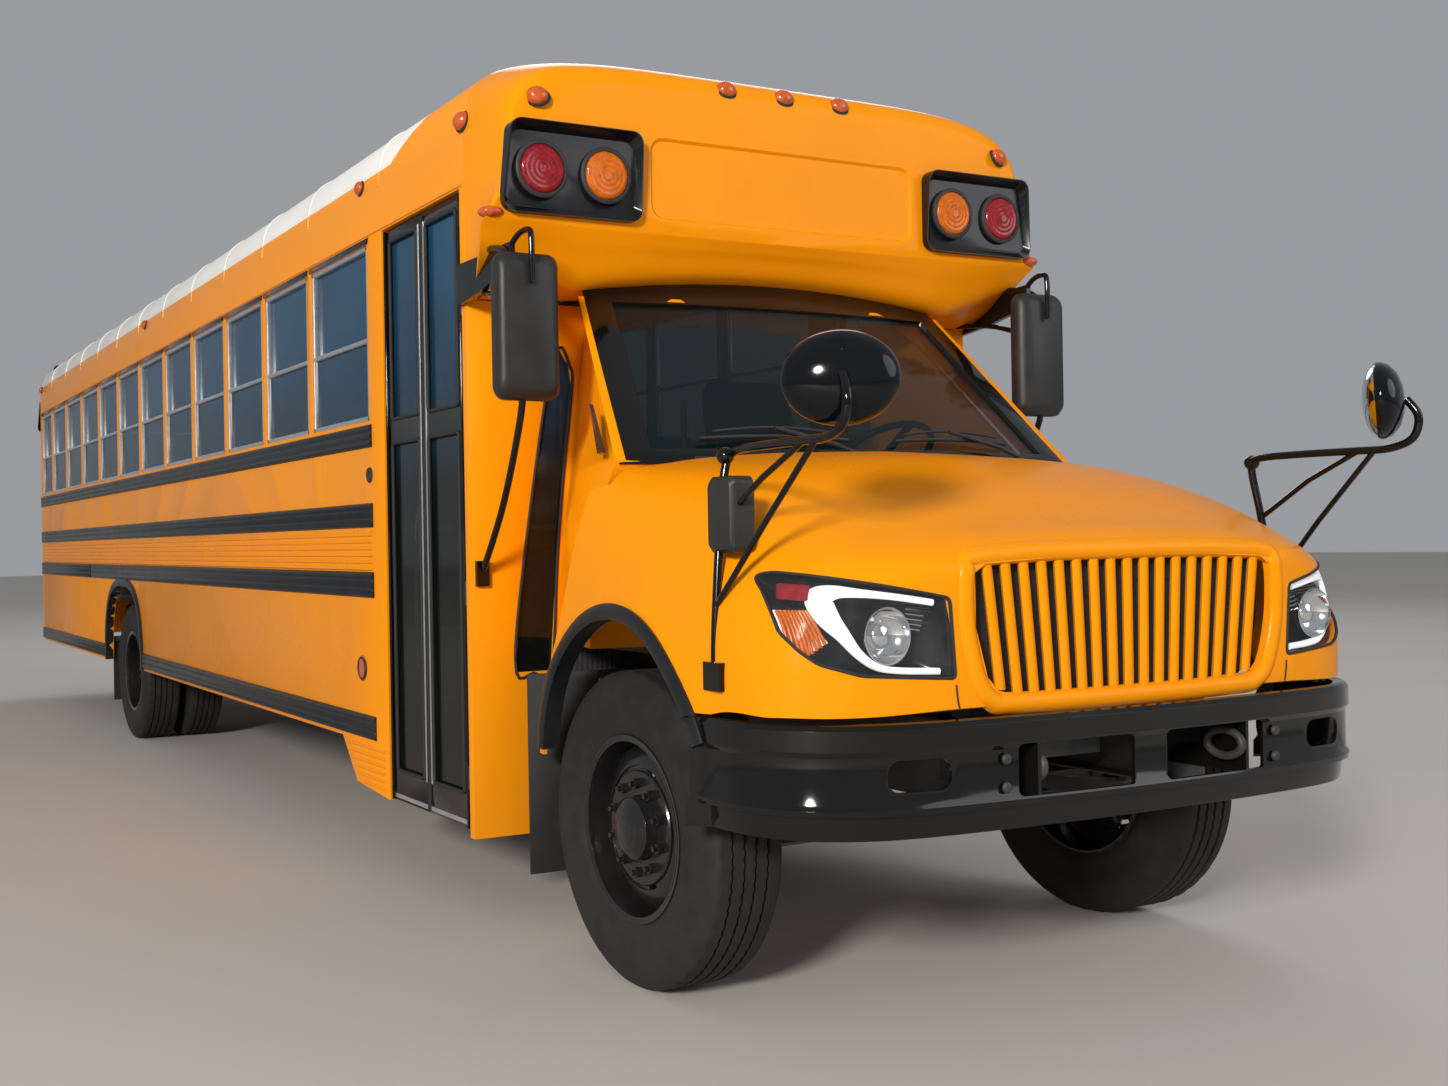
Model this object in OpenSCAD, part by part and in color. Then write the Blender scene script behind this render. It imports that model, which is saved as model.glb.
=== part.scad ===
// Conventional school bus with a tilting hood, in millimetres.
// X points forward, Y to the left side, Z up. Z = 0 is the ground.
// Modules are drawn from the front axle line and moved by place().

/* [Body] */
// half of the body width at the windows
half_w = 1219; // [1150:1:1280]
// back face of the body, from the front axle
rear_x = -11306; // [-11600:1:-8000]
// front bulkhead face, from the front axle
bulk_x = -963; // [-1100:1:-900]
// thickness of a side wall
wall_t = 50; // [30:1:80]
// top of the cabin floor
floor_z = 1080; // [1000:1:1150]
// top of the side walls, where the roof begins
eave_z = 2790; // [2700:1:2850]
// height of the roof above the eaves
roof_h = 500; // [400:1:560]
// squareness of the roof's shoulders
roof_square = 5.2; // [2:0.1:6]

/* [Windows] */
// distance from one pillar to the next
win_p = 778; // [650:1:850]
// first pillar behind the entrance door
win_x = -2829; // [-3000:1:-2600]
// front edge of the first window
win_first = -2021; // [-2100:1:-1950]
// sill height
sill_z = 1979; // [1900:1:2050]
// window head height
head_z = 2747; // [2650:1:2780]
// width of a pillar between windows
pillar_w = 70; // [40:1:120]

/* [Wheels] */
// rear axle, from the front axle
rear_ax = -7418; // [-7800:1:-5500]
// tyre radius
tyre_r = 508; // [480:1:540]
// tyre width
tyre_w = 280; // [250:1:300]
// front tyre centre plane
front_y = 985; // [940:1:1020]
// kingpin position
king_y = 870; // [820:1:900]
// outer rear tyre centre plane
dual_out = 1030; // [980:1:1060]
// inner rear tyre centre plane
dual_in = 710; // [680:1:740]

/* [Entrance] */
// front edge of the door opening
door_front = -1020; // [-1060:1:-1000]
// rear edge of the door opening
door_rear = -1830; // [-1900:1:-1700]
// bottom of the door leaves
door_z = 352; // [320:1:420]
// top of the door leaves
door_top = 2765; // [2600:1:2785]

/* [Seats] */
// number of seat rows
rows = 11; // [6:1:12]
// distance between rows
row_p = 760; // [700:1:800]
// front row, at its back rest
row_x = -3060; // [-3400:1:-2700]

/* [Hidden] */

yellow = [0.97, 0.60, 0.06];
white = [0.92, 0.92, 0.90];
black = [0.06, 0.06, 0.07];
steel = [0.30, 0.31, 0.33];
silver = [0.78, 0.79, 0.80];
tint = [0.12, 0.16, 0.20];
seat_blue = [0.16, 0.20, 0.27];

// overall ends, for the origin in the middle of the bus
bumper_x = 1115;
back_x = rear_x - 124;
ax_f = -(bumper_x + back_x) / 2;
cut = 1;
n_win = 12;
rail_in = 350;
rail_out = 430;
rail_lo = 640;
rail_hi = 880;
skirt_z = 560;
arch_r = 570;
arch_x = 50;
arch_z = 620;
rear_arch_w = 640;
rear_arch_z = 1160;
cap_x = -600;
header_z = 2370;
cowl_z = 1700;
skin = 15;
glass_t = 6;
disc_t = 12;
spindle_r = 36;
pin_r = 20;
tow_r = 22;
tow_z = 716;
tow_t = 12;
hood_hinge_z = 955;
barrel_y = -half_w + 8;
plate_r = 3.5;
side_in = half_w - wall_t;
wheel_z = tyre_r;

module place() {
  translate([ax_f, 0, 0]) children();
}

module both() {
  children();
  mirror([0, 1, 0]) children();
}

// a box from two corners
module box(a, b) {
  translate(a) cube(b - a);
}

// a box on both sides, for parts that come in pairs
module pair(a, b) {
  both() box(a, b);
}

// a round bar from a to b
module rod(a, b, r) {
  d = b - a;
  translate(a)
    rotate([0, acos(d[2] / norm(d)), atan2(d[1], d[0])])
      cylinder(r = r, h = norm(d), $fn = 24);
}

// a bent tube through a list of points
module tube_path(pts, r) {
  for (i = [0:len(pts) - 2]) rod(pts[i], pts[i + 1], r);
  for (i = [1:len(pts) - 2]) translate(pts[i]) sphere(r = r * 1.06, $fn = 24);
}

// curve through points, k steps a span
function cr(a, b, c, d, t) =
  0.5 * (2 * b + (c - a) * t + (2 * a - 5 * b + 4 * c - d) * t * t
  + (3 * b - a - 3 * c + d) * t * t * t);
function fine(p, k) = let (n = len(p)) concat(
  [for (i = [0:n - 2]) for (j = [0:k - 1])
    cr(p[max(i - 1, 0)], p[i], p[i + 1], p[min(i + 2, n - 1)], j / k)],
  [p[n - 1]]);

// unit normals along a polyline, and a band of thickness t beside it
function side(p, i) = let (d = p[min(i + 1, len(p) - 1)] - p[max(i - 1, 0)])
  [d[1], -d[0]] / norm(d);
function shifted(p, t) = [for (i = [0:len(p) - 1]) p[i] + t * side(p, i)];
function rev(p) = [for (i = [len(p) - 1:-1:0]) p[i]];
function band(p, t) = concat(p, rev(shifted(p, t)));
function mirrored(p) = concat(p, [for (i = [len(p) - 2:-1:0]) [-p[i][0], p[i][1]]]);

function total(v, i = 0) = i == len(v) - 1 ? v[i] : v[i] + total(v, i + 1);

// solid through closed rings that have the same number of points
module loft(given) {
  n = len(given[0]);
  m = len(given);
  facing = total([for (i = [0:n - 1]) cross(given[0][i], given[0][(i + 1) % n])])
    * (given[m - 1][0] - given[0][0]);
  rings = facing > 0 ? given : rev(given);
  polyhedron(
    points = [for (r = rings) for (p = r) p],
    faces = concat(
      [[for (i = [0:n - 1]) i]],
      [for (j = [0:m - 2]) for (i = [0:n - 1])
        [j * n + i, (j + 1) * n + i, j * n + (i + 1) % n]],
      [for (j = [0:m - 2]) for (i = [0:n - 1])
        [j * n + (i + 1) % n, (j + 1) * n + i, (j + 1) * n + (i + 1) % n]],
      [[for (i = [n - 1:-1:0]) (m - 1) * n + i]]));
}

// a flat plate drawn in X-Z and given a width along Y from y0 to y1
module xz(y0, y1) {
  translate([0, y1, 0]) rotate([90, 0, 0]) linear_extrude(y1 - y0) children();
}

// a flat plate drawn in Y-Z and given a length along X from x0 to x1
module yz(x0, x1) {
  translate([x0, 0, 0]) rotate([90, 0, 90]) linear_extrude(x1 - x0) children();
}

// a ring of revolution about the wheel axis, drawn as radius and distance outboard
module turned(pts) {
  rotate([-90, 0, 0]) rotate_extrude($fn = 72) polygon(pts);
}

// ---------- chassis ----------
module frame_rails() {
  color(black) place() {
    both() difference() {
      box([-11150, rail_in, rail_lo], [940, rail_out, rail_hi]);
      box([-11150 - cut, rail_in - cut, rail_lo + 8], [940 + cut, rail_out - 8, rail_hi - 8]);
    }
    for (x = [-10900, -9300, -8500, -6200, -5200, -2600, -1700, 700])
      box([x, -rail_out + 8, 826], [x + 70, rail_out - 8, 872]);
  }
}

module front_axle() {
  color(black) place() difference() {
    union() {
      box([-50, -790, 400], [50, 790, 410]);
      box([-12, -790, 410], [12, 790, 470]);
      box([-50, -790, 470], [50, 790, 480]);
      both() {
        box([-40, 700, 440], [40, king_y, 545]);
        translate([0, king_y, 440]) cylinder(r = 44, h = 130, $fn = 48);
        translate([0, king_y, 380]) cylinder(r = pin_r, h = 260, $fn = 48);
        box([-70, 395, 480], [70, 465, 538]);
      }
    }
  }
}

module rear_axle() {
  color(black) place() translate([rear_ax, 0, wheel_z]) {
    both() rotate([-90, 0, 0]) cylinder(r = 62, h = 640, $fn = 48);
    both() rotate([-90, 0, 0]) cylinder(r = 46, h = 840, $fn = 48);
    rotate([0, 90, 0]) translate([0, 0, -150]) cylinder(r1 = 150, r2 = 190, h = 190, $fn = 48);
    rotate([0, 90, 0]) translate([0, 0, 40]) cylinder(r1 = 190, r2 = 70, h = 240, $fn = 48);
    pair([-60, 440, 40], [60, 520, 72]);
  }
}

// arched pack of leaves of length l, rise h and thickness t, bottom at the axle pad
function leaf(l, h) = [for (i = [0:12]) [l * (i / 12 - 0.5), h * pow(i / 6 - 1, 2)]];
module spring_pack(l, h, t) {
  xz(-35, 35) polygon(band(leaf(l, h), t));
}

module leaf_springs() {
  color(steel) place() both() {
    translate([0, 430, 588]) spring_pack(1300, 30, 50);
    for (x = [-640, 640]) box([x - 15, 400, 612], [x + 15, 425, 640]);
    translate([rear_ax, 480, 640]) spring_pack(1500, 60, 60);
    for (x = [-740, 740]) box([rear_ax + x - 20, 430, 660], [rear_ax + x + 20, 514, 760]);
  }
}

module engine() {
  color(steel) place() difference() {
    box([-220, -300, 720], [640, 300, 1370]);
    box([-220 - cut, -300 - cut, 720 - cut], [0, 300 + cut, 800]);
  }
}

module radiator() {
  color(black) place() {
    box([800, -470, 900], [880, 470, 1290]);
    pair([800, 360, 880], [880, 420, 900]);
  }
}

module transmission() {
  color(steel) place() {
    translate([-221, 0, 800]) rotate([0, -90, 0]) cylinder(r1 = 230, r2 = 165, h = 260, $fn = 48);
    translate([-480, 0, 800]) rotate([0, -90, 0]) cylinder(r = 165, h = 560, $fn = 48);
    translate([-1039, 0, 780]) rotate([0, -90, 0]) cylinder(r = 90, h = 160, $fn = 48);
  }
}

module drive_shaft() {
  color(steel) place() {
    rod([-1202, 0, 780], [-4200, 0, 700], 50);
    translate([-4200, 0, 700]) sphere(r = 62, $fn = 32);
    rod([-4200, 0, 700], [rear_ax + 300, 0, wheel_z + 20], 50);
    box([-3960, -90, 620], [-3900, 90, 817]);
    box([-3960, -rail_in, 816], [-3900, rail_in, 836]);
  }
}

module fuel_tank() {
  color(black) place() {
    difference() {
      xz(-1040, -560) polygon([[-4900, 640], [-4900, 900], [-4860, 960], [-3540, 960],
        [-3500, 900], [-3500, 640], [-3560, 580], [-4840, 580]]);
      box([-4300, -1040 - cut, 955], [-4200, -1020, 960 + cut]);
    }
    for (x = [-4700, -3750]) box([x, -560, 700], [x + 60, -rail_out, 860]);
  }
}

module exhaust() {
  color(steel) place() {
    tube_path([[-150, 270, 755], [-420, 262, 720], [-3300, 250, 720]], 38);
    translate([-3300, 250, 720]) rotate([0, -90, 0]) cylinder(r = 90, h = 1300, $fn = 48);
    tube_path([[-4590, 250, 720], [rear_ax, 262, 726], [-11240, 262, 700]], 45);
  }
}

// outline of the front bumper face from its left end to the middle
bumper_half = fine([[530, 1212], [760, 1202], [930, 1118], [1030, 975], [1075, 800],
  [1101, 500], [1113, 200], [1115, 0]], 3);
function across(p) = concat(p, [for (i = [len(p) - 2:-1:0]) [p[i][0], -p[i][1]]]);

module bumper_strip(z0, z1, t, back) {
  translate([0, 0, z0]) linear_extrude(z1 - z0)
    polygon(band(shifted(across(bumper_half), back), t));
}

module front_bumper() {
  color(black) place() difference() {
    union() {
      bumper_strip(700, 935, 10, 0);
      bumper_strip(925, 935, 60, 2);
      bumper_strip(620, 702, 10, 18);
      bumper_strip(694, 704, 26, 2);
      pair([780, rail_out, 700], [1100, rail_out + 12, 860]);
      // tow lugs standing out from the bumper plates
      pair([980, rail_out + 11, tow_z], [1064, rail_out + 90, tow_z + tow_t]);
    }
    // rounded end openings and the two long slots
    both() {
      for (y = [765, 872]) translate([0, y, 793]) rotate([0, 90, 0])
        cylinder(r = 43, h = 1200, $fn = 48);
      box([960, 765, 750], [1200, 872, 836]);
      box([1060, 66, 712], [1200, 498, 858]);
      translate([1022, 482, tow_z - cut]) cylinder(r = tow_r, h = tow_t + 2 * cut, $fn = 48);
    }
  }
}

module rear_bumper() {
  color(black) place() {
    difference() {
      box([back_x, -1200, 670], [back_x + 8, 1200, 930]);
      for (y = [-89, 89]) for (z = [-60.5, 60.5]) translate([back_x - cut, y, 800 + z])
        rotate([0, 90, 0]) cylinder(r = plate_r, h = 20, $fn = 24);
    }
    box([back_x, -1200, 922], [rear_x - 1, 1200, 930]);
    box([back_x, -1200, 670], [back_x + 60, 1200, 678]);
    pair([back_x, 1192, 670], [rear_x - 1, 1200, 930]);
    pair([back_x + 4, 360, 700], [-11150, 420, 860]);
  }
}

// ---------- cabin ----------
// left half of the roof outline from the eave to the crown
roof_half = [for (a = [0:5:90])
  [half_w * pow(cos(a), 2 / roof_square), eave_z + roof_h * pow(sin(a), 2 / roof_square)]];

// seam between separately pressed floor sheets
joint_gap = 1;
function tread_y(i) = [1165, 960, 765, 570][i];
function tread_z(i) = [400, 630, 860, floor_z][i];

module floor() {
  color(steel) place() {
    difference() {
      union() {
        box([rear_x + wall_t, -side_in, floor_z - 50], [bulk_x - 40, side_in, floor_z]);
        box([bulk_x - 41, -760, floor_z - 50], [-400, 760, floor_z]);
      }
      box([door_rear, -side_in - cut, floor_z - 60], [door_front, -570, floor_z + cut]);
      both() translate([rear_ax, 540, 600]) rotate([-90, 0, 0])
        cylinder(r = 600, h = 700, $fn = 96);
    }
    // wheel houses
    both() difference() {
      translate([rear_ax, 528, 600]) rotate([-90, 0, 0])
        cylinder(r = 612, h = side_in - 528, $fn = 96);
      translate([rear_ax, 540, 600]) rotate([-90, 0, 0])
        cylinder(r = 600, h = 700, $fn = 96);
      box([rear_ax - 700, 500, -100], [rear_ax + 700, 1300, floor_z + joint_gap]);
    }
    // entrance steps
    for (i = [0:2]) {
      box([door_rear + joint_gap, -tread_y(i), tread_z(i) - 10],
        [door_front - joint_gap, -tread_y(i + 1), tread_z(i)]);
      box([door_rear + joint_gap, -tread_y(i + 1), tread_z(i) - 10],
        [door_front - joint_gap, -tread_y(i + 1) + 10,
         tread_z(i + 1) - (i == 2 ? 50 + joint_gap : 10)]);
    }
    // side plates of the step well
    for (x = [door_rear - 10, door_front]) yz(x, x + 10)
      polygon([[-1165, 390], [-950, 390], [-950, 620], [-755, 620], [-755, 850], [-560, 850],
        [-560, floor_z - 50 - joint_gap], [-1165, floor_z - 50 - joint_gap]]);
  }
}

// rear wheel opening with a rounded top
function arch_pts(w, top) = concat([[rear_ax - w, 0]],
  [for (i = [0:16]) let (a = 180 - 180 * i / 16)
    [rear_ax + w * (cos(a) < 0 ? -1 : 1) * pow(abs(cos(a)), 0.72),
     skirt_z + (top - skirt_z) * pow(sin(a), 0.72)]],
  [[rear_ax + w, 0]]);

function win_lo(i) = i == 0 ? win_x : (i == n_win - 1 ? rear_x + 110 : win_x - i * win_p);
function win_hi(i) = i == 0 ? win_first : win_x - (i - 1) * win_p;

// openings of the passenger windows, grown by g
module window_row(y0, y1, g) {
  for (i = [0:n_win - 1])
    box([win_lo(i) + (i == n_win - 1 ? 0 : pillar_w / 2) - g, y0, sill_z - g],
      [win_hi(i) - (i == 0 ? 0 : pillar_w / 2) + g, y1, head_z + g]);
}

module side_panel(front, low) {
  difference() {
    xz(side_in, half_w) difference() {
      polygon(low);
      polygon(arch_pts(rear_arch_w, rear_arch_z));
    }
    window_row(side_in - cut, half_w + cut, 0);
    if (front > door_rear)
      box([-1800, side_in - cut, sill_z - 40], [-1120, half_w + cut, head_z]);
  }
}

module right_side() {
  color(yellow) place() mirror([0, 1, 0]) side_panel(door_rear - 12,
    [[rear_x + wall_t, skirt_z], [-2437, skirt_z], [-2250, 370], [door_rear - 12, 342],
     [door_rear - 12, 2775], [door_front + 10, 2775], [door_front + 10, 2350], [bulk_x, 2350],
     [bulk_x, eave_z], [rear_x + wall_t, eave_z]]);
}

module left_side() {
  color(yellow) place() side_panel(bulk_x - 40,
    [[rear_x + wall_t, skirt_z], [bulk_x - 40, skirt_z], [bulk_x - 40, 2350], [bulk_x, 2350],
     [bulk_x, eave_z], [rear_x + wall_t, eave_z]]);
}

module roof() {
  color(white) place() difference() {
    yz(rear_x + wall_t, bulk_x) polygon(band(mirrored(roof_half), -45));
    box([rear_x, -1300, eave_z - 50], [0, 1300, eave_z]);
  }
}

// share of the cap's top drop that its eave line takes too
cap_eave = 0.35;
// cap sections: [x, bottom middle z, bottom edge z, bottom edge half width, top drop, narrowing]
cap_rows = [[bulk_x, 2350, 2352, 1219, 0, 0], [-880, 2352, 2380, 1226, 18, 0],
  [-800, 2354, 2420, 1245, 40, 1], [-705, 2362, 2500, 1275, 70, 4],
  [-640, 2480, 2562, 1300, 100, 9], [cap_x, 2575, 2590, 1290, 173, 20]];
function lerp(a, b, t) = a + (b - a) * t;
function cap_ring(r, g) = let (
    top = [for (p = rev(roof_half)) [max(p[0] - r[5] * p[0] / half_w - g * p[0] / half_w, 0),
      p[1] - r[4] * (cap_eave + (1 - cap_eave) * (p[1] - eave_z) / roof_h) - g]],
    low = [[r[3] - g, r[2] + g], [900 - g, r[1] + g], [0, r[1] + g]],
    mid = [[lerp(top[len(top) - 1][0], r[3] - g, 0.5), lerp(top[len(top) - 1][1], r[2], 0.55)]],
    half = concat(top, mid, low))
  concat([for (p = half) [r[0], p[0], p[1]]],
    [for (i = [len(half) - 2:-1:1]) [r[0], -half[i][0], half[i][1]]]);

module front_cap() {
  color(yellow) place() difference() {
    loft([for (r = fine(cap_rows, 3)) cap_ring(r, 0)]);
    translate([-30, 0, 0]) loft([for (r = fine(cap_rows, 3)) cap_ring(r, 30)]);
  }
}

module rear_wall() {
  color(yellow) place() difference() {
    yz(rear_x, rear_x + wall_t)
      polygon(concat([[half_w, 600]], mirrored(roof_half), [[-half_w, 600]]));
    box([rear_x - cut, -345, 1085], [rear_x + wall_t + cut, 345, 2620]);
    pair([rear_x - cut, 470, 1950], [rear_x + wall_t + cut, 1080, 2560]);
    // openings for the bumper's arms
    pair([rear_x - cut, 355, 695], [rear_x + wall_t + cut, 425, 865]);
  }
}

// cowl outline at a height: front middle, front corner, and rear edge
function cowl_ring(z, xm, xc, yc, yb, g) = [
  [bulk_x - 60, yb - g, z], [bulk_x, yb - g, z], [xc - g, yc - g, z],
  [lerp(xc, xm, 0.8) - g, yc * 0.55, z], [xm - g, 0, z],
  [lerp(xc, xm, 0.8) - g, -yc * 0.55, z], [xc - g, -yc + g, z], [bulk_x, -yb + g, z],
  [bulk_x - 60, -yb + g, z]];
function cowl_rings(g, low) = [
  cowl_ring(1060 - low, -290, -400, 1020, 845, g),
  cowl_ring(1500, -290, -385, 1030, 815, g),
  cowl_ring(1590, -110, -250, 1035, 805, g),
  cowl_ring(cowl_z, -80, -165, 1040, 790, g),
  cowl_ring(2349, -655, -738, 862, 702, g)];
bulk_edge = [[860, 322], [852, 940], [826, 1360], [790, 1700], [745, 2040], [702, 2350]];
slit_pts = [[1036, 940], [884, 940], [852, 1360], [818, 1700], [774, 2040], [785, 2120],
  [830, 2185], [893, 1980], [1012, 1250]];

// front glass: bottom and top edges as [x, y] curves
function arc_xy(xm, xe, ye, k) = [for (i = [-k:k]) [xm + (xe - xm) * pow(i / k, 2), ye * i / k]];
module screen(inset, t, grow) {
  b = arc_xy(-90 - 14, -180 - 14, 985 - inset, 6);
  c = arc_xy(-640 - 14, -715 - 14, 815 - inset, 6);
  zb = cowl_z + 22 + inset;
  zt = header_z - 34 - inset;
  loft([
    for (i = [0:12]) [[b[i][0] + grow, b[i][1], zb], [b[i][0] - t, b[i][1], zb],
      [c[i][0] - t, c[i][1], zt], [c[i][0] + grow, c[i][1], zt]]]);
}

module cowl() {
  color(yellow) place() {
    difference() {
      loft(cowl_rings(0, 0));
      loft(cowl_rings(40, cut));
      screen(0, 160, 160);
      box([bulk_x - 61, -1300, 0], [bulk_x - 40, 1300, 3000]);
    }
    // bulkheads beside the hood, the right one down to the bottom step
    for (s = [-1, 1]) yz(bulk_x - 40, bulk_x) difference() {
      polygon([for (p = concat([[half_w, 322], [half_w, 2350]], rev(bulk_edge)))
        [s * p[0], s > 0 ? max(p[1], skirt_z) : p[1]]]);
      polygon([for (p = slit_pts) [s * p[0], p[1]]]);
    }
  }
}

module windshield() {
  color(tint) place() screen(3, glass_t, 0);
}

// one sash frame with a middle bar, in the window opening
module sash(x0, x1) {
  w = 22;
  m = sill_z + 0.46 * (head_z - sill_z);
  difference() {
    box([x0, side_in + 8, sill_z], [x1, half_w - 6, head_z]);
    box([x0 + w, side_in, sill_z + w], [x1 - w, half_w, m - w / 2]);
    box([x0 + w, side_in, m + w / 2], [x1 - w, half_w, head_z - w]);
  }
}

module pane(x0, x1) {
  w = 22.5;
  m = sill_z + 0.46 * (head_z - sill_z);
  y = half_w - 26;
  box([x0 + w, y, sill_z + w], [x1 - w, y + glass_t, m - w / 2 - 0.5]);
  box([x0 + w, y - 8, m + w / 2 + 0.5], [x1 - w, y - 2, head_z - w]);
}

module window_sashes() {
  color(silver) place() both() for (i = [0:n_win - 1])
    sash(win_lo(i) + (i == n_win - 1 ? 0 : pillar_w / 2),
      win_hi(i) - (i == 0 ? 0 : pillar_w / 2));
}

module window_glass() {
  color(tint) place() {
    both() for (i = [0:n_win - 1])
      pane(win_lo(i) + (i == n_win - 1 ? 0 : pillar_w / 2),
        win_hi(i) - (i == 0 ? 0 : pillar_w / 2));
    box([-1800, half_w - 26, sill_z - 40], [-1120, half_w - 20, head_z]);
    pair([rear_x + 20, 470, 1950], [rear_x + 26, 1080, 2560]);
    // narrow glass in the bulkheads
    for (s = [-1, 1]) yz(bulk_x - 14, bulk_x - 8) polygon([for (p = slit_pts) [s * p[0], p[1]]]);
  }
}

rails_z = [[1861, 1963], [1510, 1619], [1201, 1317]];
module rail_strip(x0, x1, z0, z1) {
  h = z1 - z0;
  yz(x0, x1) polygon([[half_w, z0], [half_w + 12, z0 + h * 0.06], [half_w + 12, z0 + h * 0.26],
    [half_w + 6, z0 + h * 0.34], [half_w + 12, z0 + h * 0.42], [half_w + 12, z0 + h * 0.60],
    [half_w + 6, z0 + h * 0.68], [half_w + 12, z0 + h * 0.76], [half_w + 12, z0 + h * 0.94],
    [half_w, z1]]);
}
module rub_rails() {
  color(black) place() {
    both() for (r = rails_z) {
      rail_strip(rear_x + 20, r[0] > 1400 ? -1990 : -8700, r[0], r[1]);
      if (r[0] < 1400) rail_strip(-8650, -1990, r[0], r[1]);
    }
    both() rail_strip(rear_x + 20, rear_ax - rear_arch_w - 60, 576, 684);
    mirror([0, 1, 0]) rail_strip(rear_ax + rear_arch_w + 60, -1990, 576, 684);
    rail_strip(rear_ax + rear_arch_w + 60, -1100, 576, 684);
  }
}

// a lamp box of two round lamps on a backing plate
module lamp_box(x, d) {
  for (s = [-1, 1]) {
    x1 = x + d * 24;
    box([min(x, x1), min(s * 690, s * 1215), 2625], [max(x, x1), max(s * 690, s * 1215), 2905]);
    for (y = [820, 1085])
      translate([x + d * 24, s * y, 2765]) rotate([0, d * 90, 0])
        cylinder(r1 = 90, r2 = 84, h = 14, $fn = 64);
  }
}
module warning_lights() {
  color(black) place() {
    lamp_box(cap_x, 1);
    translate([rear_x, 0, 0]) lamp_box(0, -1);
  }
}

module button(p, r, h) {
  translate(p) cylinder(r1 = r, r2 = r * 0.7, h = h, $fn = 32);
}
module marker_lights() {
  color([0.9, 0.35, 0.03]) place() {
    for (y = [-269, 0, 269]) {
      button([-690, y, 3228], 30, 22);
      button([rear_x + 70, y, 3291], 30, 26);
    }
    for (s = [-1, 1]) {
      button([-690, s * 1010, 3196], 30, 28);
      button([rear_x + 70, s * 1010, 3256], 30, 28);
    }
    for (s = [-1, 1]) {
      rod([-640, s * 1290, 2612], [-640, s * 1318, 2612], 18);
      for (x = [-1990, -6300]) rod([x, s * 1218, 3010], [x, s * 1232, 3010], 22);
      rod([-2153, s * half_w, 886], [-2153, s * 1229, 886], 46);
    }
  }
}

module tail_lights() {
  color([0.6, 0.03, 0.02]) place() {
    for (s = [-1, 1]) for (p = [[800, 1720, 90], [1040, 1720, 90], [1000, 1380, 60], [1000, 1200, 60]])
      rod([rear_x, s * p[0], p[1]], [rear_x - 22, s * p[0], p[1]], p[2]);
  }
}

module dashboard() {
  color(black) place() difference() {
    xz(-890, 890) polygon([[-430, 1180], [-430, 1545], [-300, 1600], [-230, 1650], [-420, 1670],
      [-560, 1620], [-600, 1500], [-560, 1380], [-500, 1180]]);
    steering_axis() cylinder(r = 40, h = 1100, center = true, $fn = 32);
  }
}

// ---------- seats ----------
module bench_profile() {
  polygon(fine([[96, 1500], [68, 1470], [68, 1410], [200, 1400], [430, 1410], [450, 1440],
    [440, 1500], [300, 1512], [150, 1500], [96, 1500]], 2));
}
module back_profile() {
  polygon(fine([[0, 1410], [52, 1405], [56, 1500], [20, 1900], [-20, 2010], [-70, 2025],
    [-100, 1985], [-60, 1700], [-8, 1420], [0, 1410]], 2));
}
module passenger_seats() {
  color(seat_blue) place() both() for (i = [0:rows - 1]) translate([row_x - i * row_p, 0, 0])
    xz(175, 1145) {
      bench_profile();
      back_profile();
    }
}
module seat_frames() {
  color(black) place() both() for (i = [0:rows - 1]) translate([row_x - i * row_p, 0, 0]) {
    box([80, 200, 1385], [420, 1120, 1399]);
    for (x = [90, 385]) box([x, 215, floor_z], [x + 25, 240, 1385]);
    box([20, 200, 1385], [79, 1120, 1399]);
  }
}
module driver_seat() {
  color(seat_blue) place() translate([-1420, 520, 0]) {
    box([-140, -140, floor_z], [220, 140, 1330]);
    xz(-235, 235) polygon(fine([[-130, 1330], [280, 1330], [320, 1380], [290, 1440],
      [0, 1420], [-130, 1420], [-150, 1370], [-130, 1330]], 2));
    xz(-225, 225) polygon(fine([[-130, 1425], [-70, 1430], [-130, 1800], [-190, 2130],
      [-240, 2170], [-280, 2130], [-240, 1780], [-200, 1440], [-130, 1425]], 2));
  }
}

// ---------- outside fittings ----------
module side_mirrors() {
  color(black) place() both() {
    box([bulk_x, 1105, 2150], [bulk_x + 30, 1215, 2345]);
    rod([bulk_x + 15, 1180, 2320], [-500, 1228, 2390], 14);
    rod([bulk_x + 15, 1170, 2180], [-500, 1222, 2250], 11);
    box([-540, 1125, 1925], [-455, 1320, 2435]);
    rod([-500, 1222, 1990], [bulk_x + 15, 1175, 1320], 14);
    box([bulk_x, 1150, 1270], [bulk_x + 34, 1200, 1370]);
  }
}

module mud_flaps() {
  color(black) place() both() {
    box([-660, 850, 240], [-652, 1140, 960]);
    box([-660, 380, 930], [-640, 860, 960]);
    box([rear_ax - 690, 560, 230], [rear_ax - 682, 1165, 700]);
    box([rear_ax - 700, 430, 700], [rear_ax - 660, 1165, 740]);
  }
}

module stop_arm_bracket() {
  color(black) place() difference() {
    box([-2200, half_w, 1665], [-2120, half_w + 34, 1815]);
    translate([-2160, 1262, 1600]) cylinder(r = 20, h = 300, $fn = 32);
  }
}
module stop_arm() {
  color([0.7, 0.03, 0.03]) place() {
    translate([-2160, 1262, 1670]) cylinder(r = 13, h = 140, $fn = 32);
    box([-2260, 1258, 1700], [-2160, 1266, 1780]);
    translate([-2470, 1258, 1740]) rotate([-90, 22.5, 0]) cylinder(r = 243, h = 6, $fn = 8);
  }
}

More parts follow.
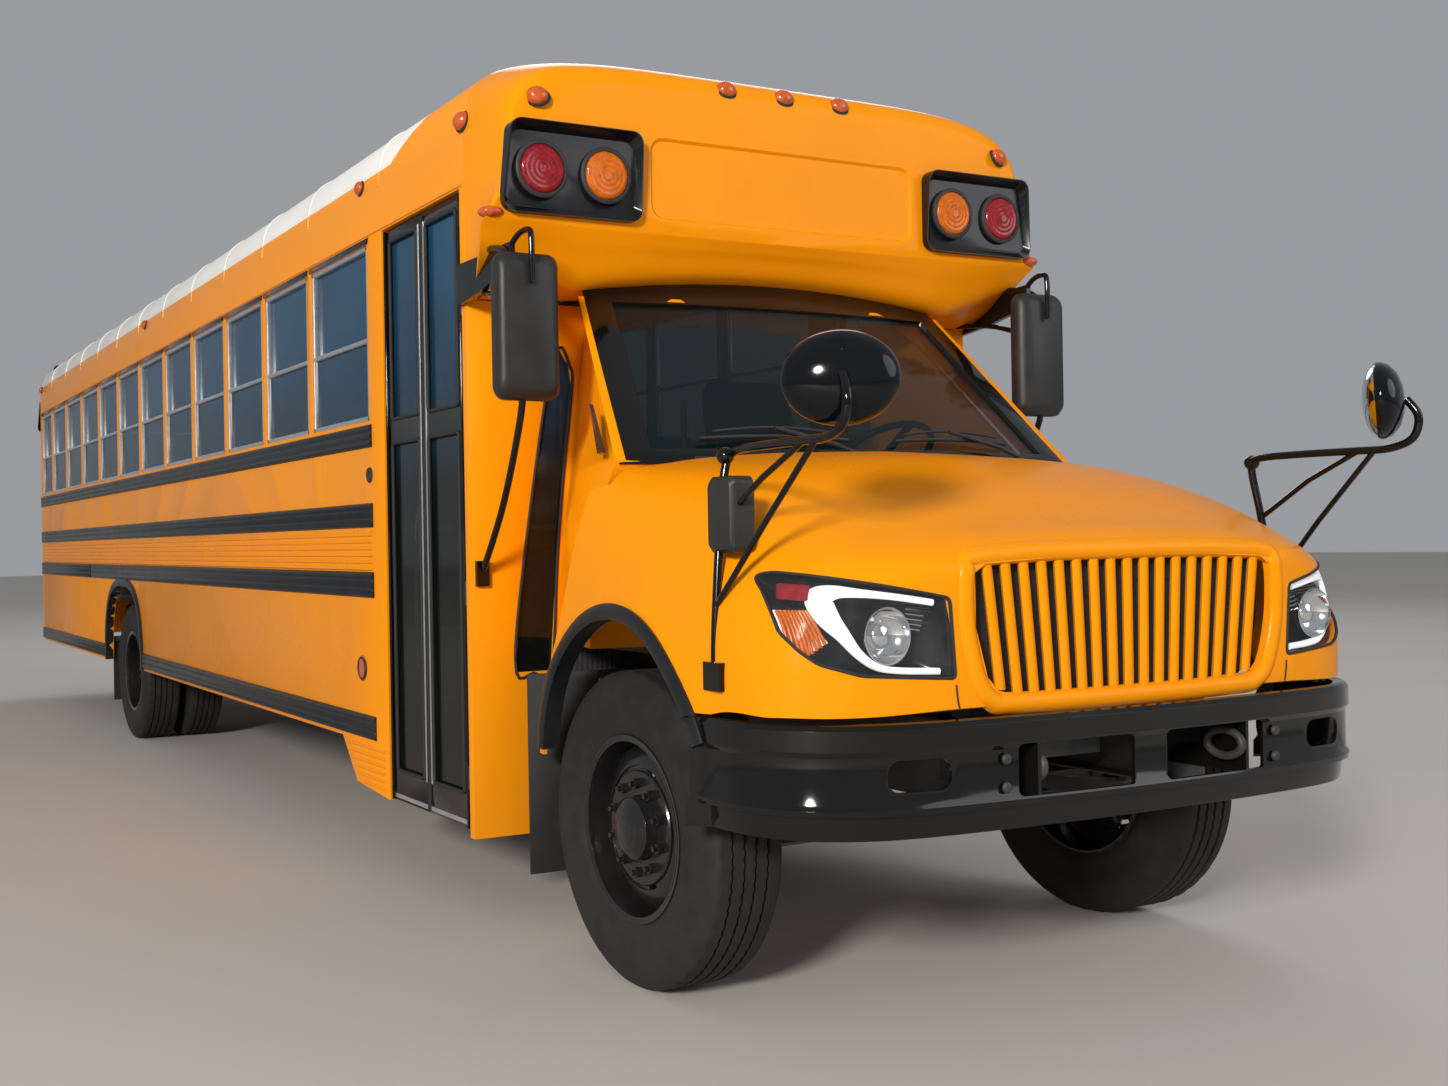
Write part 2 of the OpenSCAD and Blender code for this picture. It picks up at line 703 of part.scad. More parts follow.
// ---------- hood ----------
// half sections [y, z] from the lower edge to the middle, front to back
hood_xs = [-600, -330, -50, 300, 600, 850, 960, 1015, 1045];
hood_half = [
  [[1125, 690], [1130, 980], [1120, 1250], [1105, 1480], [1070, 1640], [930, 1720], [520, 1765], [0, 1780]],
  [[1140, 690], [1148, 980], [1130, 1270], [1108, 1490], [1066, 1642], [925, 1712], [520, 1750], [0, 1765]],
  [[1170, 690], [1178, 1000], [1150, 1280], [1112, 1490], [1050, 1625], [900, 1688], [520, 1724], [0, 1738]],
  [[1200, 690], [1205, 1050], [1165, 1290], [1100, 1470], [1010, 1585], [850, 1644], [510, 1680], [0, 1694]],
  [[1200, 930], [1200, 1090], [1168, 1270], [1100, 1410], [990, 1510], [810, 1560], [500, 1590], [0, 1602]],
  [[1150, 950], [1148, 1080], [1120, 1220], [1060, 1330], [950, 1405], [790, 1448], [500, 1480], [0, 1492]],
  [[1040, 950], [1038, 1080], [1012, 1200], [965, 1300], [880, 1366], [740, 1405], [480, 1438], [0, 1450]],
  [[900, 952], [895, 1080], [880, 1190], [845, 1285], [790, 1345], [690, 1378], [460, 1405], [0, 1416]],
  [[700, 960], [700, 1080], [695, 1180], [685, 1270], [665, 1325], [620, 1345], [420, 1362], [0, 1372]]];
function hood_row(i, g) = [for (p = hood_half[i])
  [hood_xs[i] - g, p[0] * (1 - g / 1150), p[1] - (p[1] < 951 ? 60 * g / skin : g)]];
function hood_rings(g) = let (
    rows3 = fine([for (i = [0:len(hood_xs) - 1]) fine(hood_row(i, g), 3)], 3))
  [for (r = rows3) concat(r, [for (i = [len(r) - 2:-1:0]) [r[i][0], -r[i][1], r[i][2]]])];

// grille opening and lamp outline, seen from the front as [y, z]
grille_pts = [[0, 1368], [300, 1366], [560, 1354], [600, 1330], [600, 1180], [560, 1040],
  [520, 1000], [440, 985], [0, 980]];
lamp_pts = [[692, 1262], [900, 1300], [1160, 1330], [1160, 1230], [1130, 1120], [1060, 1068],
  [960, 1040], [800, 1030], [674, 1028]];

module rear_trim() {
  xz(-1300, 1300) polygon([[-45, 2000], [-58, 1690], [-150, 1676], [-156, 1622], [-262, 1606],
    [-370, 1270], [-560, 740], [-560, 0], [-900, 0], [-900, 2000]]);
}
module arches() {
  both() translate([arch_x, 700, arch_z]) rotate([-90, 0, 0])
    cylinder(r = arch_r, h = 700, $fn = 96);
}
module lamp_cut() {
  both() yz(600, 1200) polygon(lamp_pts);
}
module grille_cut() {
  yz(900, 1200) polygon(mirrored(rev(grille_pts)));
}

module hood() {
  color(yellow) place() {
    difference() {
      loft(hood_rings(0));
      loft(hood_rings(skin));
      rear_trim();
      arches();
      lamp_cut();
      grille_cut();
      box([500, -1300, 0], [1200, 1300, 942]);
    }
    // hinge ears and barrels under the nose
    pair([960, 380, 946], [1050, 420, 966]);
    both() translate([1050, 380, hood_hinge_z]) rotate([-90, 0, 0])
      cylinder(r = 12, h = 40, $fn = 32);
  }
}

module headlamps() {
  color(silver) place() both() loft([
    for (d = [72, 14]) [for (p = lamp_pts)
      [1024 - 0.479 * (p[0] - 692) - 0.17 * (p[1] - 1262) - d, p[0], p[1]]]]);
}

module grille() {
  color(yellow) place() {
    for (i = [-9:9]) {
      y = i * 62;
      hi = abs(y) > 540 ? 1325 : 1352;
      lo = abs(y) > 500 ? 1082 : 1000;
      box([1012, y - 12, lo], [1042, y + 12, hi]);
    }
    box([1000, -590, 1300], [1012, 590, 1330]);
    box([1000, -590, 1060], [1012, 590, 1090]);
    box([995, -520, 990], [1012, 520, 1020]);
  }
}

module fender_mirrors() {
  color(black) place() both() {
    tube_path([[640, 1222, 1045], [614, 1206, 1290], [593, 1112, 1660], [640, 1108, 1678],
      [1040, 1150, 1684], [1090, 1150, 1720], [1100, 1120, 1800]], 13);
    rod([950, 1140, 1682], [604, 1157, 1480], 9);
    rod([1010, 1146, 1682], [614, 1198, 1320], 9);
    box([620, 1204, 1010], [670, 1234, 1080]);
    translate([1113, 1089, 1845]) rotate([0, 90, 34]) scale([0.82, 1, 0.42]) sphere(r = 150, $fn = 40);
  }
}

// ---------- doors ----------
leaf_t = 30;
leaf_y = -half_w + 14;
mid_x = -1428;
module leaf_frame(x0, x1) {
  difference() {
    box([x0, leaf_y, door_z], [x1, leaf_y + leaf_t, door_top]);
    box([x0 + 45, leaf_y - cut, 480], [x1 - 45, leaf_y + leaf_t + cut, 1862]);
    box([x0 + 45, leaf_y - cut, 1965], [x1 - 45, leaf_y + leaf_t + cut, door_top - 50]);
  }
}
module leaf_glass(x0, x1) {
  box([x0 + 45, leaf_y + 12, 480], [x1 - 45, leaf_y + 18, 1862]);
  box([x0 + 45, leaf_y + 12, 1965], [x1 - 45, leaf_y + 18, door_top - 50]);
}
module hinge_barrel(x) {
  translate([x, barrel_y, door_z]) cylinder(r = 7, h = door_top - door_z, $fn = 32);
}
module entrance_door_front() {
  color(black) place() {
    leaf_frame(mid_x + 6, door_front - 14);
    hinge_barrel(door_front - 14);
  }
}
module entrance_glass_front() {
  color(tint) place() leaf_glass(mid_x + 6, door_front - 14);
}
module entrance_door_rear() {
  color(black) place() {
    leaf_frame(door_rear + 12, mid_x - 6);
    hinge_barrel(door_rear + 12);
  }
}
module entrance_glass_rear() {
  color(tint) place() leaf_glass(door_rear + 12, mid_x - 6);
}

module rear_door() {
  color(yellow) place() {
    difference() {
      box([rear_x, -335, 1095], [rear_x + 40, 335, 2610]);
      box([rear_x - cut, -250, 1950], [rear_x + 41, 250, 2520]);
      box([rear_x - cut, -250, 1330], [rear_x + 41, 250, 1780]);
    }
    // three hinges: barrel, strap and pad
    for (z = [1200, 1820, 2420]) {
      translate([rear_x - 16, -341, z]) cylinder(r = 8, h = 80, $fn = 32);
      box([rear_x - 20, -341, z + 5], [rear_x - 10, -290, z + 75]);
      box([rear_x - 11, -325, z + 5], [rear_x + 1, -290, z + 75]);
    }
  }
}
module rear_door_glass() {
  color(tint) place() {
    box([rear_x + 16, -250, 1950], [rear_x + 22, 250, 2520]);
    box([rear_x + 16, -250, 1330], [rear_x + 22, 250, 1780]);
  }
}

// ---------- steering ----------
module steering_axis() {
  translate([-690, 520, 1760]) rotate([0, -35, 0]) children();
}
module steering_wheel() {
  color(black) place() steering_axis() {
    rotate_extrude($fn = 72) translate([215, 0]) circle(r = 14, $fn = 32);
    translate([0, 0, -40]) cylinder(r = 45, h = 45, $fn = 48);
    translate([0, 0, -470]) cylinder(r = 18, h = 440, $fn = 32);
    for (a = [0, 120, 240]) rotate([0, 0, a]) box([30, -16, -12], [205, 16, 2]);
  }
}

// left knuckle; ears above and below the axle end, spindle outboard
module knuckle() {
  difference() {
    union() {
      for (z = [385, 578]) translate([0, king_y, z]) cylinder(r = 42, h = 46, $fn = 48);
      for (z = [385, 578]) box([-42, king_y, z], [42, 942, z + 46]);
      box([-60, 924, 385], [60, 942, 624]);
      translate([0, 942, wheel_z]) rotate([-90, 0, 0]) cylinder(r = spindle_r, h = 75, $fn = 48);
    }
    for (z = [384, 577]) translate([0, king_y, z]) cylinder(r = pin_r + 5.5, h = 48, $fn = 48);
  }
}
module knuckle_left() {
  color(steel) place() knuckle();
}
module knuckle_right() {
  color(steel) place() mirror([0, 1, 0]) knuckle();
}

// ---------- wheels ----------
tw = tyre_w / 2;
tyre_pts = [[293, -108], [300, -112], [330, -128], [400, -tw], [455, -136], [492, -124],
  [502, -112], [tyre_r, -90], [tyre_r, 90], [502, 112], [492, 124], [455, 136], [400, tw],
  [330, 128], [300, 112], [293, 108], [296, 60], [310, 80], [400, 125], [480, 105], [485, 0],
  [480, -105], [400, -125], [310, -80], [296, -60]];
module tyre() {
  turned(tyre_pts);
}
// rim barrel with its disc outboard of the centre
barrel_pts = [[280, -120], [300, -120], [300, -113], [292, -112], [288, -60], [288, 60],
  [292, 112], [300, 113], [300, 120], [280, 120], [276, 60], [276, -60]];
module barrel(d) {
  turned(barrel_pts);
  turned([[60, d - disc_t / 2], [200, d - disc_t / 2], [262, d - 40], [278, d - 60],
    [284, d - 40], [210, d + disc_t / 2], [60, d + disc_t / 2]]);
}
// deep rim of the twin wheels
twin_pts = [[280, 120], [300, 120], [300, 113], [292, 112], [288, 0], [292, -112], [284, -112],
  [240, -160], [90, -160], [90, -153], [236, -153], [276, -105], [276, 60]];
function flipped(p) = [for (q = p) [q[0], -q[1]]];
module hand_holes(y) {
  for (a = [0:72:288]) rotate([0, a, 0]) translate([205, y - 40, 0]) rotate([-90, 0, 0])
    cylinder(r = 27, h = 80, $fn = 32);
}
module studs(y0, y1) {
  for (a = [18:36:342]) rotate([0, a, 0]) translate([142.9, y0, 0]) rotate([-90, 0, 0])
    cylinder(r = 15, h = y1 - y0, $fn = 24);
}
module front_rim() {
  translate([0, front_y, wheel_z]) {
    difference() {
      barrel(66);
      hand_holes(66);
    }
    turned([[42, -30], [100, -30], [100, 118], [70, 138], [0, 138], [0, 60], [42, 60]]);
    studs(72, 104);
  }
}
module rear_rims() {
  translate([rear_ax, 0, wheel_z]) {
    translate([0, dual_out, 0]) difference() {
      turned(twin_pts);
      hand_holes(-156);
    }
    translate([0, dual_in, 0]) difference() {
      turned(flipped(twin_pts));
      hand_holes(156);
    }
    turned([[0, 850], [52, 850], [52, 700], [110, 700], [110, 845], [188, 845], [188, 650],
      [205, 650], [205, 863], [125, 863], [125, 878], [115, 880], [115, 1060], [95, 1085],
      [0, 1085]]);
    studs(877, 910);
  }
}
module rear_tyres() {
  translate([rear_ax, 0, wheel_z]) {
    translate([0, dual_out, 0]) tyre();
    translate([0, dual_in, 0]) tyre();
  }
}
module front_left_rim() {
  color(black) place() front_rim();
}
module front_right_rim() {
  color(black) place() mirror([0, 1, 0]) front_rim();
}
module front_left_tyre() {
  color(black) place() translate([0, front_y, wheel_z]) tyre();
}
module front_right_tyre() {
  color(black) place() translate([0, -front_y, wheel_z]) tyre();
}
module rear_left_rims() {
  color(black) place() rear_rims();
}
module rear_right_rims() {
  color(black) place() mirror([0, 1, 0]) rear_rims();
}
module rear_left_tyres() {
  color(black) place() rear_tyres();
}
module rear_right_tyres() {
  color(black) place() mirror([0, 1, 0]) rear_tyres();
}

frame_rails();
front_axle();
rear_axle();
leaf_springs();
engine();
radiator();
transmission();
drive_shaft();
fuel_tank();
exhaust();
front_bumper();
rear_bumper();
floor();
right_side();
left_side();
roof();
front_cap();
rear_wall();
cowl();
windshield();
window_glass();
window_sashes();
rub_rails();
warning_lights();
marker_lights();
tail_lights();
dashboard();
driver_seat();
passenger_seats();
seat_frames();
side_mirrors();
mud_flaps();
stop_arm_bracket();
hood();
grille();
headlamps();
fender_mirrors();
entrance_door_front();
entrance_glass_front();
entrance_door_rear();
entrance_glass_rear();
rear_door();
rear_door_glass();
stop_arm();
steering_wheel();
knuckle_left();
knuckle_right();
front_left_rim();
front_left_tyre();
front_right_rim();
front_right_tyre();
rear_left_rims();
rear_left_tyres();
rear_right_rims();
rear_right_tyres();
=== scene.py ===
import bmesh
import bpy
import math
import numpy as np
from mathutils import Vector, Matrix


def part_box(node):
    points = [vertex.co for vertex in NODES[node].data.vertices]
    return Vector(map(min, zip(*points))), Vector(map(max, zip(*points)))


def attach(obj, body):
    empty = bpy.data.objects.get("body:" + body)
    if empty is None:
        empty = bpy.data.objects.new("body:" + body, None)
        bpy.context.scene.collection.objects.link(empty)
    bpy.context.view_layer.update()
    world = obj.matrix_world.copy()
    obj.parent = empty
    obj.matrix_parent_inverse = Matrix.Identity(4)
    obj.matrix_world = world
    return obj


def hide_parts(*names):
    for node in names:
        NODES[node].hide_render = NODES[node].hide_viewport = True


MM = 1000.0                          # mm in a metre
HALF_MM = MM / 2                     # turns the sum of two ends in metres into their middle in mm
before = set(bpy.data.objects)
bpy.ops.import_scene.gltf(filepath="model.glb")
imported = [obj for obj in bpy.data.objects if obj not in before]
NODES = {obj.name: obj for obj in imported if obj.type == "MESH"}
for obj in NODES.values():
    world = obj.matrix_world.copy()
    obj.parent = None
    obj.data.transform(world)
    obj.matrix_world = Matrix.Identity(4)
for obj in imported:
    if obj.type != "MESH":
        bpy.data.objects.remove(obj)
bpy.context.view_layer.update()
lo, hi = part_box("front_left_tyre")
AX = (lo.x + hi.x) * HALF_MM         # front axle, mm in the row frame
TYRE_Y = (lo.y + hi.y) * HALF_MM
TYRE_R = (hi.z - lo.z) * HALF_MM
WHEEL_Z = (lo.z + hi.z) * HALF_MM
lo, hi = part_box("rear_left_tyres")
REAR = (lo.x + hi.x) * HALF_MM - AX  # rear axle from the front axle
lo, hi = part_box("rear_wall")
BACK = lo.x * MM - AX                # rear face of the body
HALF = hi.y * MM                     # half of the body's width
SIDES = (-1, 1)                      # right, left


# ------ mesh helpers (mm, x from the front axle)
def angles(n):
    """n directions round a full turn."""
    return [2 * math.pi * k / n for k in range(n)]


class Geo:
    """Points and faces of one piece, in mm."""

    def __init__(self):
        self.v, self.f = [], []

    def add(self, v, f):
        k = len(self.v)
        self.v += [tuple(float(c) for c in p) for p in v]
        self.f += [[i + k for i in q] for q in f]
        return self

    def box(self, a, b):
        (x0, y0, z0), (x1, y1, z1) = [min(p, q) for p, q in zip(a, b)], [max(p, q) for p, q in zip(a, b)]
        v = [(x, y, z) for x in (x0, x1) for y in (y0, y1) for z in (z0, z1)]
        return self.add(v, [(0, 1, 3, 2), (4, 6, 7, 5), (0, 4, 5, 1), (2, 3, 7, 6), (0, 2, 6, 4), (1, 5, 7, 3)])

    def loft(self, rings, closed=True, caps=True):
        """Skin over rings of equal length."""
        n, m = len(rings[0]), len(rings)
        f = []
        for j in range(m - 1):
            for i in range(n if closed else n - 1):
                a, b = j * n + i, j * n + (i + 1) % n
                f.append((a, b, b + n, a + n))
        if caps and closed:
            f += [tuple(range(n - 1, -1, -1)), tuple((m - 1) * n + i for i in range(n))]
        return self.add([p for r in rings for p in r], f)

    def prism(self, pts, start, end, axis):
        """An outline drawn out along an axis."""
        def at(p, w):
            return {"x": (w, p[0], p[1]), "y": (p[0], w, p[1]), "z": (p[0], p[1], w)}[axis]
        return self.loft([[at(p, start) for p in pts], [at(p, end) for p in pts]])

    def cyl(self, a, b, r, r2=None, n=24, caps=True):
        return self.tube([a, b], r, n, last=r2, caps=caps)

    def tube(self, pts, r, n=12, closed=False, last=None, caps=True):
        """Round bar along points; last is the radius at the last point."""
        p = [Vector(q) for q in pts]
        m = len(p)
        rings, up = [], None
        for i in range(m):
            t = (p[(i + 1) % m] - p[i - 1]) if closed else (p[min(i + 1, m - 1)] - p[max(i - 1, 0)])
            t.normalize()
            if up is None:
                up = t.orthogonal().normalized()
                if abs(t.z) < 0.9:
                    up = (Vector((0, 0, 1)) - t * t.z).normalized()
            up = (up - t * up.dot(t)).normalized()
            w = t.cross(up)
            rr = r if last is None or i < m - 1 else last
            rings.append([p[i] + (up * math.cos(a) + w * math.sin(a)) * rr for a in angles(n)])
        if closed:
            rings.append(rings[0])
            return self.loft(rings, caps=False)
        return self.loft(rings, caps=caps)

    def turned(self, prof, centre, n=72, axis="y", s=1):
        """A profile of radius and depth turned round an axis."""
        rings = []
        for a in angles(n):
            ring = []
            for r, d in prof:
                u, w = r * math.cos(a), r * math.sin(a)
                ring.append(Vector(centre) + Vector({"y": (u, d * s, w), "x": (d * s, u, w)}[axis]))
            rings.append(ring)
        rings.append(rings[0])
        return self.loft(rings, caps=False)

    def ball(self, c, r, sx=1, sy=1, sz=1, n=24, m=12, rot=None, half=False):
        rings = []
        for j in range(m + 1):
            t = (0.5 if half else 1) * math.pi * j / m
            ring = []
            for a in angles(n):
                q = Vector((math.cos(t) * r * sx, math.sin(t) * math.cos(a) * r * sy,
                            math.sin(t) * math.sin(a) * r * sz))
                if rot is not None:
                    q = rot @ q
                ring.append(Vector(c) + q)
            rings.append(ring)
        return self.loft(rings, caps=half)

    def mirror(self):
        """Adds the same shape on the other side of the bus."""
        k = len(self.v)
        self.v += [(x, -y, z) for x, y, z in self.v]
        self.f += [[i + k for i in reversed(q)] for q in self.f]
        return self

    def mesh(self, name, scaled=True):
        me = bpy.data.meshes.new(name)
        v = [((x + AX) / MM, y / MM, z / MM) for x, y, z in self.v] if scaled else self.v
        me.from_pydata(v, [], [tuple(q) for q in self.f])
        bm = bmesh.new()
        bm.from_mesh(me)
        bmesh.ops.remove_doubles(bm, verts=bm.verts, dist=1e-6)
        bmesh.ops.recalc_face_normals(bm, faces=bm.faces)
        bm.to_mesh(me)
        bm.free()
        return me

    def obj(self, name, mat, body, slot, bevel=0.0, seg=2, angle=35, replaces=()):
        """Makes the piece: finish mat of the table M, on a body, sharp edges over angle."""
        me = self.mesh(name)
        o = bpy.data.objects.new(name, me)
        bpy.context.scene.collection.objects.link(o)
        for p in me.polygons:
            p.use_smooth = True
        me.set_sharp_from_angle(angle=math.radians(angle))
        me.materials.append(M[mat])
        if bevel:
            add_bevel(o, bevel, seg, 30)
        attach(o, body)
        if replaces:
            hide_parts(*replaces)
        return o


def add_bevel(o, width, seg, angle):
    md = o.modifiers.new("bevel", "BEVEL")
    md.width = width / MM
    md.segments = seg
    md.limit_method = "ANGLE"
    md.angle_limit = math.radians(angle)
    md.harden_normals = True


def boolean(a, bs):
    """Solid a with the solids bs taken away."""
    objs = []
    for g in [a] + list(bs):
        o = bpy.data.objects.new("tmp", g.mesh("tmp", scaled=False))
        bpy.context.scene.collection.objects.link(o)
        objs.append(o)
    for o in objs[1:]:
        md = objs[0].modifiers.new("b", "BOOLEAN")
        md.operation = "DIFFERENCE"
        md.object = o
        md.solver = "EXACT"
    dg = bpy.context.evaluated_depsgraph_get()
    me = bpy.data.meshes.new_from_object(objs[0].evaluated_get(dg))
    out = Geo().add([v.co for v in me.vertices], [p.vertices for p in me.polygons])
    for o in objs:
        d = o.data
        bpy.data.objects.remove(o)
        bpy.data.meshes.remove(d)
    bpy.data.meshes.remove(me)
    return out


def between(a, b, c, d, k):
    """Points from b towards c on the smooth curve through a, b, c and d."""
    return [0.5 * (2 * b + (c - a) * t + (2 * a - 5 * b + 4 * c - d) * t * t + (3 * b - a - 3 * c + d) * t ** 3)
            for t in [j / k for j in range(k)]]


def fine(pts, k):
    """Smooth open line through points, k steps for each."""
    p = [np.array(q, float) for q in pts]
    p = [p[0]] + p + [p[-1]]
    out = []
    for i in range(len(p) - 3):
        out += between(*p[i:i + 4], k)
    return out + [p[-1]]


def loop(pts, k):
    """Smooth closed line through points, k steps for each."""
    p = [np.array(q, float) for q in pts]
    n, out = len(p), []
    for i in range(n):
        out += between(p[i - 1], p[i], p[(i + 1) % n], p[(i + 2) % n], k)
    return out


def normal_at(pts, i, closed=False):
    """Unit normal of a flat line at its point i, to the left of its direction."""
    n = len(pts)
    q, r = (pts[i - 1], pts[(i + 1) % n]) if closed else (pts[max(i - 1, 0)], pts[min(i + 1, n - 1)])
    d = math.hypot(r[0] - q[0], r[1] - q[1])
    return np.array([-(r[1] - q[1]) / d, (r[0] - q[0]) / d])


def smooth(t):
    t = max(0.0, min(1.0, t))
    return t * t * (3 - 2 * t)


def rounded(x0, x1, y0, y1, r, n=5):
    """Rectangle with round corners."""
    out = []
    for cx, cy, s in ((x1 - r, y1 - r, 0), (x0 + r, y1 - r, 1), (x0 + r, y0 + r, 2), (x1 - r, y0 + r, 3)):
        for k in range(n + 1):
            a = math.pi / 2 * (s + k / n)
            out.append((cx + r * math.cos(a), cy + r * math.sin(a)))
    return out


def poly(pts, r, step=45.0):
    """Closed outline with small rounded corners and points along its sides."""
    out, n = [], len(pts)
    for i in range(n):
        a, b, c = (np.array(pts[k % n], float) for k in (i - 1, i, i + 1))
        da, dc = np.linalg.norm(a - b), np.linalg.norm(c - b)
        p, q = b + (a - b) * min(r / da, 0.45), b + (c - b) * min(r / dc, 0.45)
        out += [p * (1 - t) ** 2 + b * 2 * t * (1 - t) + q * t * t for t in (0, 0.25, 0.5, 0.75, 1)]
        e = c + (b - c) * min(r / dc, 0.45)
        m = int(np.linalg.norm(e - q) / step)
        out += [q + (e - q) * k / (m + 1) for k in range(1, m + 1)]
    return out


def whole(half):
    """An outline from its left half."""
    return list(half) + [(-p[0], p[1]) for p in reversed(half[1:-1])]


def arch_lip(g, s, line, prof):
    """Rubber lip: a profile of (out of the arch, off the side) along points (x, z, normal, y of the side)."""
    g.loft([[(x + n[0] * o, s * (y + w), z + n[1] * o) for o, w in prof] for x, z, n, y in line])


# ------ materials
def set_inputs(m, node, inputs):
    """Gives each input, by name or number, a value or the output that feeds it."""
    for k, v in inputs.items():
        if isinstance(v, bpy.types.NodeSocket):
            m.node_tree.links.new(v, node.inputs[k])
        else:
            node.inputs[k].default_value = v


def add_node(m, kind, inputs, **attrs):
    node = m.node_tree.nodes.new("ShaderNode" + kind)
    for k, v in attrs.items():
        setattr(node, k, v)
    set_inputs(m, node, inputs)
    return node


def blend(m, factor, a, b):
    return add_node(m, "Mix", {"Factor": factor, "A": a, "B": b}, data_type="RGBA").outputs["Result"]


def calc(m, op, *terms):
    return add_node(m, "Math", dict(enumerate(terms)), operation=op).outputs[0]


def material(name, color, rough=0.4, metal=0.0, coat=0.0, vary=0.06, scale=6.0, bump=None, alpha=1.0, spec=None,
             emit=0.0, rvary=0.08, dirt=0.0):
    """Finish whose colour and roughness wander with a noise; bump is (strength, scale, pattern)."""
    m = bpy.data.materials.new(name)
    m.use_nodes = True
    place = add_node(m, "TexCoord", {}).outputs["Object"]
    noise = add_node(m, "TexNoise", {"Vector": place, "Scale": scale, "Detail": 6}).outputs["Fac"]
    ramp = add_node(m, "ValToRGB", {"Fac": noise})
    for e, at, k in zip(ramp.color_ramp.elements, (0.3, 0.7), (1 - vary, 1 + vary)):
        e.position = at
        e.color = (*np.clip(np.array(color) * k, 0, 1), 1)
    out = ramp.outputs["Color"]
    if dirt:
        z = add_node(m, "SeparateXYZ", {0: place}).outputs["Z"]
        low = add_node(m, "MapRange", {"Value": z, "From Min": 0.3, "From Max": 1.2, "To Min": dirt, "To Max": 0.0})
        patches = add_node(m, "TexNoise", {"Vector": place, "Scale": 3.0, "Detail": 8})
        amount = calc(m, "MULTIPLY", low.outputs["Result"], patches.outputs["Fac"])
        out = blend(m, amount, out, DUST)
    wander = add_node(m, "MapRange", {"Value": noise, "To Min": max(0.02, rough - rvary),
                                      "To Max": min(1.0, rough + rvary)})
    values = {"Base Color": out, "Roughness": wander.outputs["Result"], "Metallic": metal, "Coat Weight": coat,
              "Coat Roughness": 0.06, "Alpha": alpha}
    if spec is not None:
        values["Specular IOR Level"] = spec
    if emit:
        values.update({"Emission Color": (*color, 1), "Emission Strength": emit})
    if bump:
        strength, bscale, pattern = (*bump, "noise")[:3]
        inputs = {"Vector": place, "Scale": bscale}
        if pattern == "noise":
            height = add_node(m, "TexNoise", {**inputs, "Detail": 4}).outputs["Fac"]
        elif pattern == "grain":
            height = add_node(m, "TexVoronoi", inputs, feature="SMOOTH_F1").outputs["Distance"]
        else:
            height = add_node(m, "TexWave", {**inputs, "Distortion": 0.6}, bands_direction=pattern).outputs["Fac"]
        values["Normal"] = add_node(m, "Bump", {"Strength": strength, "Distance": 0.002, "Height": height}).outputs[0]
    set_inputs(m, m.node_tree.nodes["Principled BSDF"], values)
    if alpha < 1:
        m.surface_render_method = "DITHERED"
    return m


